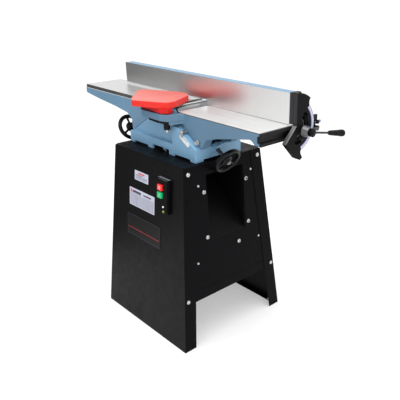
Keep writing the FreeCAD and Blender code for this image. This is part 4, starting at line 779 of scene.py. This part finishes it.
# handwheels: round rim with a finger roll behind, dished spokes, hub with a raised collar
def handwheel(name, middle, out, body, node, slot):
    d, u, v = axes_of(out)
    middle = Vector(middle)
    sets = []
    steps, tube = 96, 20
    verts, faces = [], []
    for i in range(steps):
        a = 2 * math.pi * i / steps
        radial = u * math.cos(a) + v * math.sin(a)
        for j in range(tube):
            b = 2 * math.pi * j / tube
            grip = 1.0 - 0.03 * (0.5 + 0.5 * math.cos(24 * a)) * max(0.0, -math.sin(b))
            verts.append(middle + radial * (0.047 + 0.008 * math.cos(b) * grip) + d * 0.008 * math.sin(b) * grip * 0.98)
    for i in range(steps):
        for j in range(tube):
            k, m = (i + 1) % steps, (j + 1) % tube
            faces.append((i * tube + j, k * tube + j, k * tube + m, i * tube + m))
    sets.append((verts, faces))
    for i in range(3):
        a = math.radians(120.0 * i + 30.0)
        radial = u * math.cos(a) + v * math.sin(a)
        side = (d.cross(radial)).normalized()
        verts, faces = [], []
        rows, around = 14, 16
        for r in range(rows + 1):
            t = r / rows
            dist = 0.008 + 0.035 * t
            rise = 0.004 * math.sin(t * math.pi) * 0.4 - 0.0042 * (1 - t) + 0.0005 * t
            wide = 0.0062 - 0.0018 * math.sin(t * math.pi) + 0.001 * (t ** 6)
            thick = 0.0042 - 0.0008 * math.sin(t * math.pi)
            for j in range(around):
                b = 2 * math.pi * j / around
                verts.append(middle + radial * dist + d * (rise + thick * math.sin(b)) + side * wide * math.cos(b))
        for r in range(rows):
            for j in range(around):
                m = (j + 1) % around
                faces.append((r * around + j, (r + 1) * around + j, (r + 1) * around + m, r * around + m))
        faces.append(tuple(range(around)))
        faces.append(tuple(reversed(range(rows * around, (rows + 1) * around))))
        sets.append((verts, faces))
    hub = [(-0.016, 0.0051), (-0.016, 0.0105), (-0.0145, 0.0125), (-0.0045, 0.0135), (-0.0035, 0.019), (-0.002, 0.0205), (0.0005, 0.0208), (0.0018, 0.0198),
           (0.0022, 0.0165), (0.0024, 0.0135), (0.0046, 0.0125), (0.0058, 0.0112), (0.006, 0.0098), (0.006, 0.0051)]
    sets.append(lathe_data(middle, d, hub, 72))
    o = piece(name, *merged(*sets), WHEEL, body, slot, replaces=(node,))
    return o


handwheel("infeed_wheel_casting", (0.256, -0.022, 0.702), (CW, 0, -SW), "infeed_wheel", "infeed_handwheel", "handwheel_black")
handwheel("outfeed_wheel_casting", (-0.304, -0.053, 0.725), (-CW, 0, -SW), "outfeed_wheel", "outfeed_handwheel", "handwheel_black")


# ------------------------------------------------------------------ prints and small marks on the front panel
N_OUT = Vector((0, -math.cos(LEAN), math.sin(LEAN)))
N_UP = Vector((0, math.sin(LEAN), math.cos(LEAN)))


def on_front(x, z, s, proud):
    """A point on the leaning panel: s metres up the slope from height z."""
    return Vector((x, -half_y(z), z)) + N_UP * s + N_OUT * proud


def chips(name, mat, rects, z0, proud, body="stand_and_base", slot=None, thick=0.00022, corner=0.0):
    """Thin raised marks: rects are (x0, x1, s0, s1)."""
    sets = []
    for x0, x1, s0, s1 in rects:
        c = min(corner, (x1 - x0) / 2.01, (s1 - s0) / 2.01)
        pts = []
        if c > 0:
            for cx, cs, a0 in ((x1 - c, s0 + c, -90), (x1 - c, s1 - c, 0), (x0 + c, s1 - c, 90), (x0 + c, s0 + c, 180)):
                for k in range(5):
                    a = math.radians(a0 + 22.5 * k)
                    pts.append((cx + c * math.cos(a), cs + c * math.sin(a)))
        else:
            pts = [(x0, s0), (x1, s0), (x1, s1), (x0, s1)]
        n = len(pts)
        low = [on_front(x, z0, s, proud) for x, s in pts]
        high = [on_front(x, z0, s, proud + thick) for x, s in pts]
        verts = low + high
        faces = [tuple(range(n, 2 * n)), tuple(reversed(range(n)))] + [(i, (i + 1) % n, n + (i + 1) % n, n + i) for i in range(n)]
        sets.append((verts, faces))
    return piece(name, *merged(*sets), mat, body, slot, smooth=False)


PLATE = 0.00108
# upper plate: a red bar over a short grid of grey lines
ux, uz, uw, uh = -0.076, 0.592, 0.088, 0.037
chips("upper_plate_lines", INK_GREY, [(ux + 0.006, ux + uw - 0.006, s, s + 0.0016) for s in (0.006, 0.0105, 0.015)] + [(ux + 0.008, ux + 0.052, 0.0195, 0.0222)]
      + [(ux + 0.034, ux + 0.035, 0.006, 0.0206), (ux + 0.062, ux + 0.063, 0.006, 0.0206)], uz, PLATE, slot="plate_pale")
chips("upper_plate_bar", INK_RED, [(ux + 0.024, ux + 0.064, 0.0255, 0.0305)], uz, PLATE, slot="plate_pale")
# middle plate: heading bars and a ruled grid in two columns
mx, mz, mw, mh = -0.110, 0.485, 0.163, 0.070
rows = [0.0055 + 0.0066 * k for k in range(8)]
chips("middle_plate_lines", INK_GREY, [(mx + 0.007, mx + 0.078, s, s + 0.0019) for s in rows] + [(mx + 0.086, mx + mw - 0.007, s, s + 0.0019) for s in rows[:-1]]
      + [(mx + x, mx + x + 0.0012, 0.006, 0.0482) for x in (0.007, 0.046, 0.0775, 0.086, 0.122, mw - 0.008)], mz, PLATE, slot="plate_pale")
chips("middle_plate_heads", INK_DARK, [(mx + 0.022, mx + 0.076, 0.0545, 0.0625), (mx + 0.092, mx + 0.142, 0.0545, 0.060)], mz, PLATE, slot="plate_pale")
chips("middle_plate_bar", INK_RED, [(mx + 0.007, mx + 0.017, 0.0535, 0.0645)], mz, PLATE, slot="plate_pale")
# lower plate: left bare, with a faint outline and one red rule
nx, nz, nw, nh = -0.125, 0.361, 0.216, 0.088
fr = 0.0007
chips("name_plate_outline", INK_FAINT, [(nx + 0.003, nx + nw - 0.003, 0.003, 0.003 + fr), (nx + 0.003, nx + nw - 0.003, nh - 0.003 - fr, nh - 0.003),
                                        (nx + 0.003, nx + 0.003 + fr, 0.003, nh - 0.003), (nx + nw - 0.003 - fr, nx + nw - 0.003, 0.003, nh - 0.003)],
      nz, PLATE, slot="plate_dark")
chips("name_plate_rule", INK_RED, [(nx + 0.006, nx + nw - 0.006, 0.0300, 0.0311)], nz, PLATE, slot="plate_dark")

# switch marks: a bar for on, a ring for off, and the round earth mark under the lamp
sx, sz = 0.084, 0.517
chips("start_mark", LAMP, [(sx + 0.0238, sx + 0.0252, 0.0605, 0.0715)], sz, 0.02106, "start_button_body", "button_green")
ring_pts = []
sets = []
for k in range(28):
    a0, a1 = 2 * math.pi * k / 28, 2 * math.pi * (k + 1) / 28
    quad = []
    for a, r in ((a0, 0.0044), (a0, 0.0056), (a1, 0.0056), (a1, 0.0044)):
        quad.append(on_front(sx + 0.0245 + r * math.cos(a), sz, 0.094 + r * math.sin(a), 0.02106))
    sets.append((quad + [q + N_OUT * 0.00022 for q in quad], [(4, 5, 6, 7), (3, 2, 1, 0), (1, 2, 6, 5), (3, 0, 4, 7)]))
piece("stop_mark", *merged(*sets), LAMP, "stop_button_body", "button_red", smooth=False)
disc = on_front(sx + 0.045, sz, 0.0085, 0.0155)
oval_v, oval_f = lathe_data(Vector((0, 0, 0)), N_OUT, [(0.0, 0.0), (0.0, 0.0050), (0.0008, 0.0050), (0.0014, 0.0044), (0.0016, 0.0)], 40)
piece("earth_mark", [disc + v for v in oval_v], oval_f, EARTH, "stand_and_base", "lamp_white")


# ------------------------------------------------------------------ floor, light, camera
def plain(name, verts, faces, mat):
    me = bpy.data.meshes.new(name)
    me.from_pydata(verts, [], faces)
    me.materials.append(mat)
    o = bpy.data.objects.new(name, me)
    COL.objects.link(o)
    return o


floor_mat = Mat("studio_floor", (0.94, 0.94, 0.94), 0.9, Specular_IOR_Level=0.1)
floor_mat.set("Base Color", floor_mat.mix(floor_mat.span(floor_mat.noise(0.6, 2.0), 0.3, 0.7, 0.0, 1.0), (0.62, 0.62, 0.62), (0.64, 0.64, 0.64)))
floor_mat.shader.inputs["Emission Color"].default_value = (1.0, 1.0, 1.0, 1.0)
floor_mat.shader.inputs["Emission Strength"].default_value = 0.36
plain("studio_floor", [(-60, -60, 0), (60, -60, 0), (60, 60, 0), (-60, 60, 0)], [(0, 1, 2, 3)], floor_mat.mat)


def card(name, corners, level):
    """A card of plain tone that only shows in reflections."""
    mat = bpy.data.materials.new(name)
    mat.use_nodes = True
    tree = mat.node_tree
    tree.nodes.clear()
    glow = tree.nodes.new("ShaderNodeEmission")
    glow.inputs["Color"].default_value = (level, level, level, 1.0)
    out = tree.nodes.new("ShaderNodeOutputMaterial")
    tree.links.new(glow.outputs[0], out.inputs["Surface"])
    o = plain(name, corners, [(0, 1, 2, 3)], mat)
    o.visible_camera = False
    o.visible_diffuse = False
    o.visible_shadow = False
    o.visible_transmission = False
    return o


card("dark_card_left", [(-3.9, -0.1, 0.0), (-1.3, -1.34, 0.0), (-1.3, -1.34, 3.2), (-3.9, -0.1, 3.2)], 0.17)
card("dark_card_low", [(-3.9, -0.1, 0.012), (-0.75, -0.3, 0.012), (-0.75, -1.15, 0.012), (-1.22, -1.38, 0.012)], 0.18)

world = bpy.data.worlds.new("studio")
bpy.context.scene.world = world
world.use_nodes = True
world.node_tree.nodes["Background"].inputs["Color"].default_value = (1.0, 1.0, 1.0, 1.0)
world.node_tree.nodes["Background"].inputs["Strength"].default_value = 1.08


def lamp(name, at, target, size, power):
    data = bpy.data.lights.new(name, "AREA")
    data.shape = "RECTANGLE"
    data.size, data.size_y = size
    data.energy = power
    o = bpy.data.objects.new(name, data)
    o.location = at
    o.rotation_euler = (Vector(target) - Vector(at)).to_track_quat("-Z", "Y").to_euler()
    COL.objects.link(o)
    return o


lamp("key_overhead", (0.4, -0.6, 3.2), (0.0, 0.0, 0.8), (2.6, 2.2), 55.0)
lamp("fill_right", (3.0, -0.6, 1.9), (0.1, 0.0, 0.7), (1.6, 1.6), 14.0)

scene = bpy.context.scene
scene.view_settings.view_transform = "Standard"
scene.view_settings.look = "None"
scene.view_settings.exposure = 0.0

cam_data = bpy.data.cameras.new("camera")
cam_data.sensor_width = 36.0
cam_data.lens = 534.4 / 400.0 * 36.0
cam_data.shift_x = -0.1125
cam_data.shift_y = 0.0325
cam_data.clip_start, cam_data.clip_end = 0.05, 300.0
cam = bpy.data.objects.new("camera", cam_data)
cam.location = (1.5868, -1.2210, 1.2884)
cam.rotation_euler = (math.radians(66.3), 0.0, math.radians(46.0))
COL.objects.link(cam)
scene.camera = cam

bpy.context.view_layer.update()
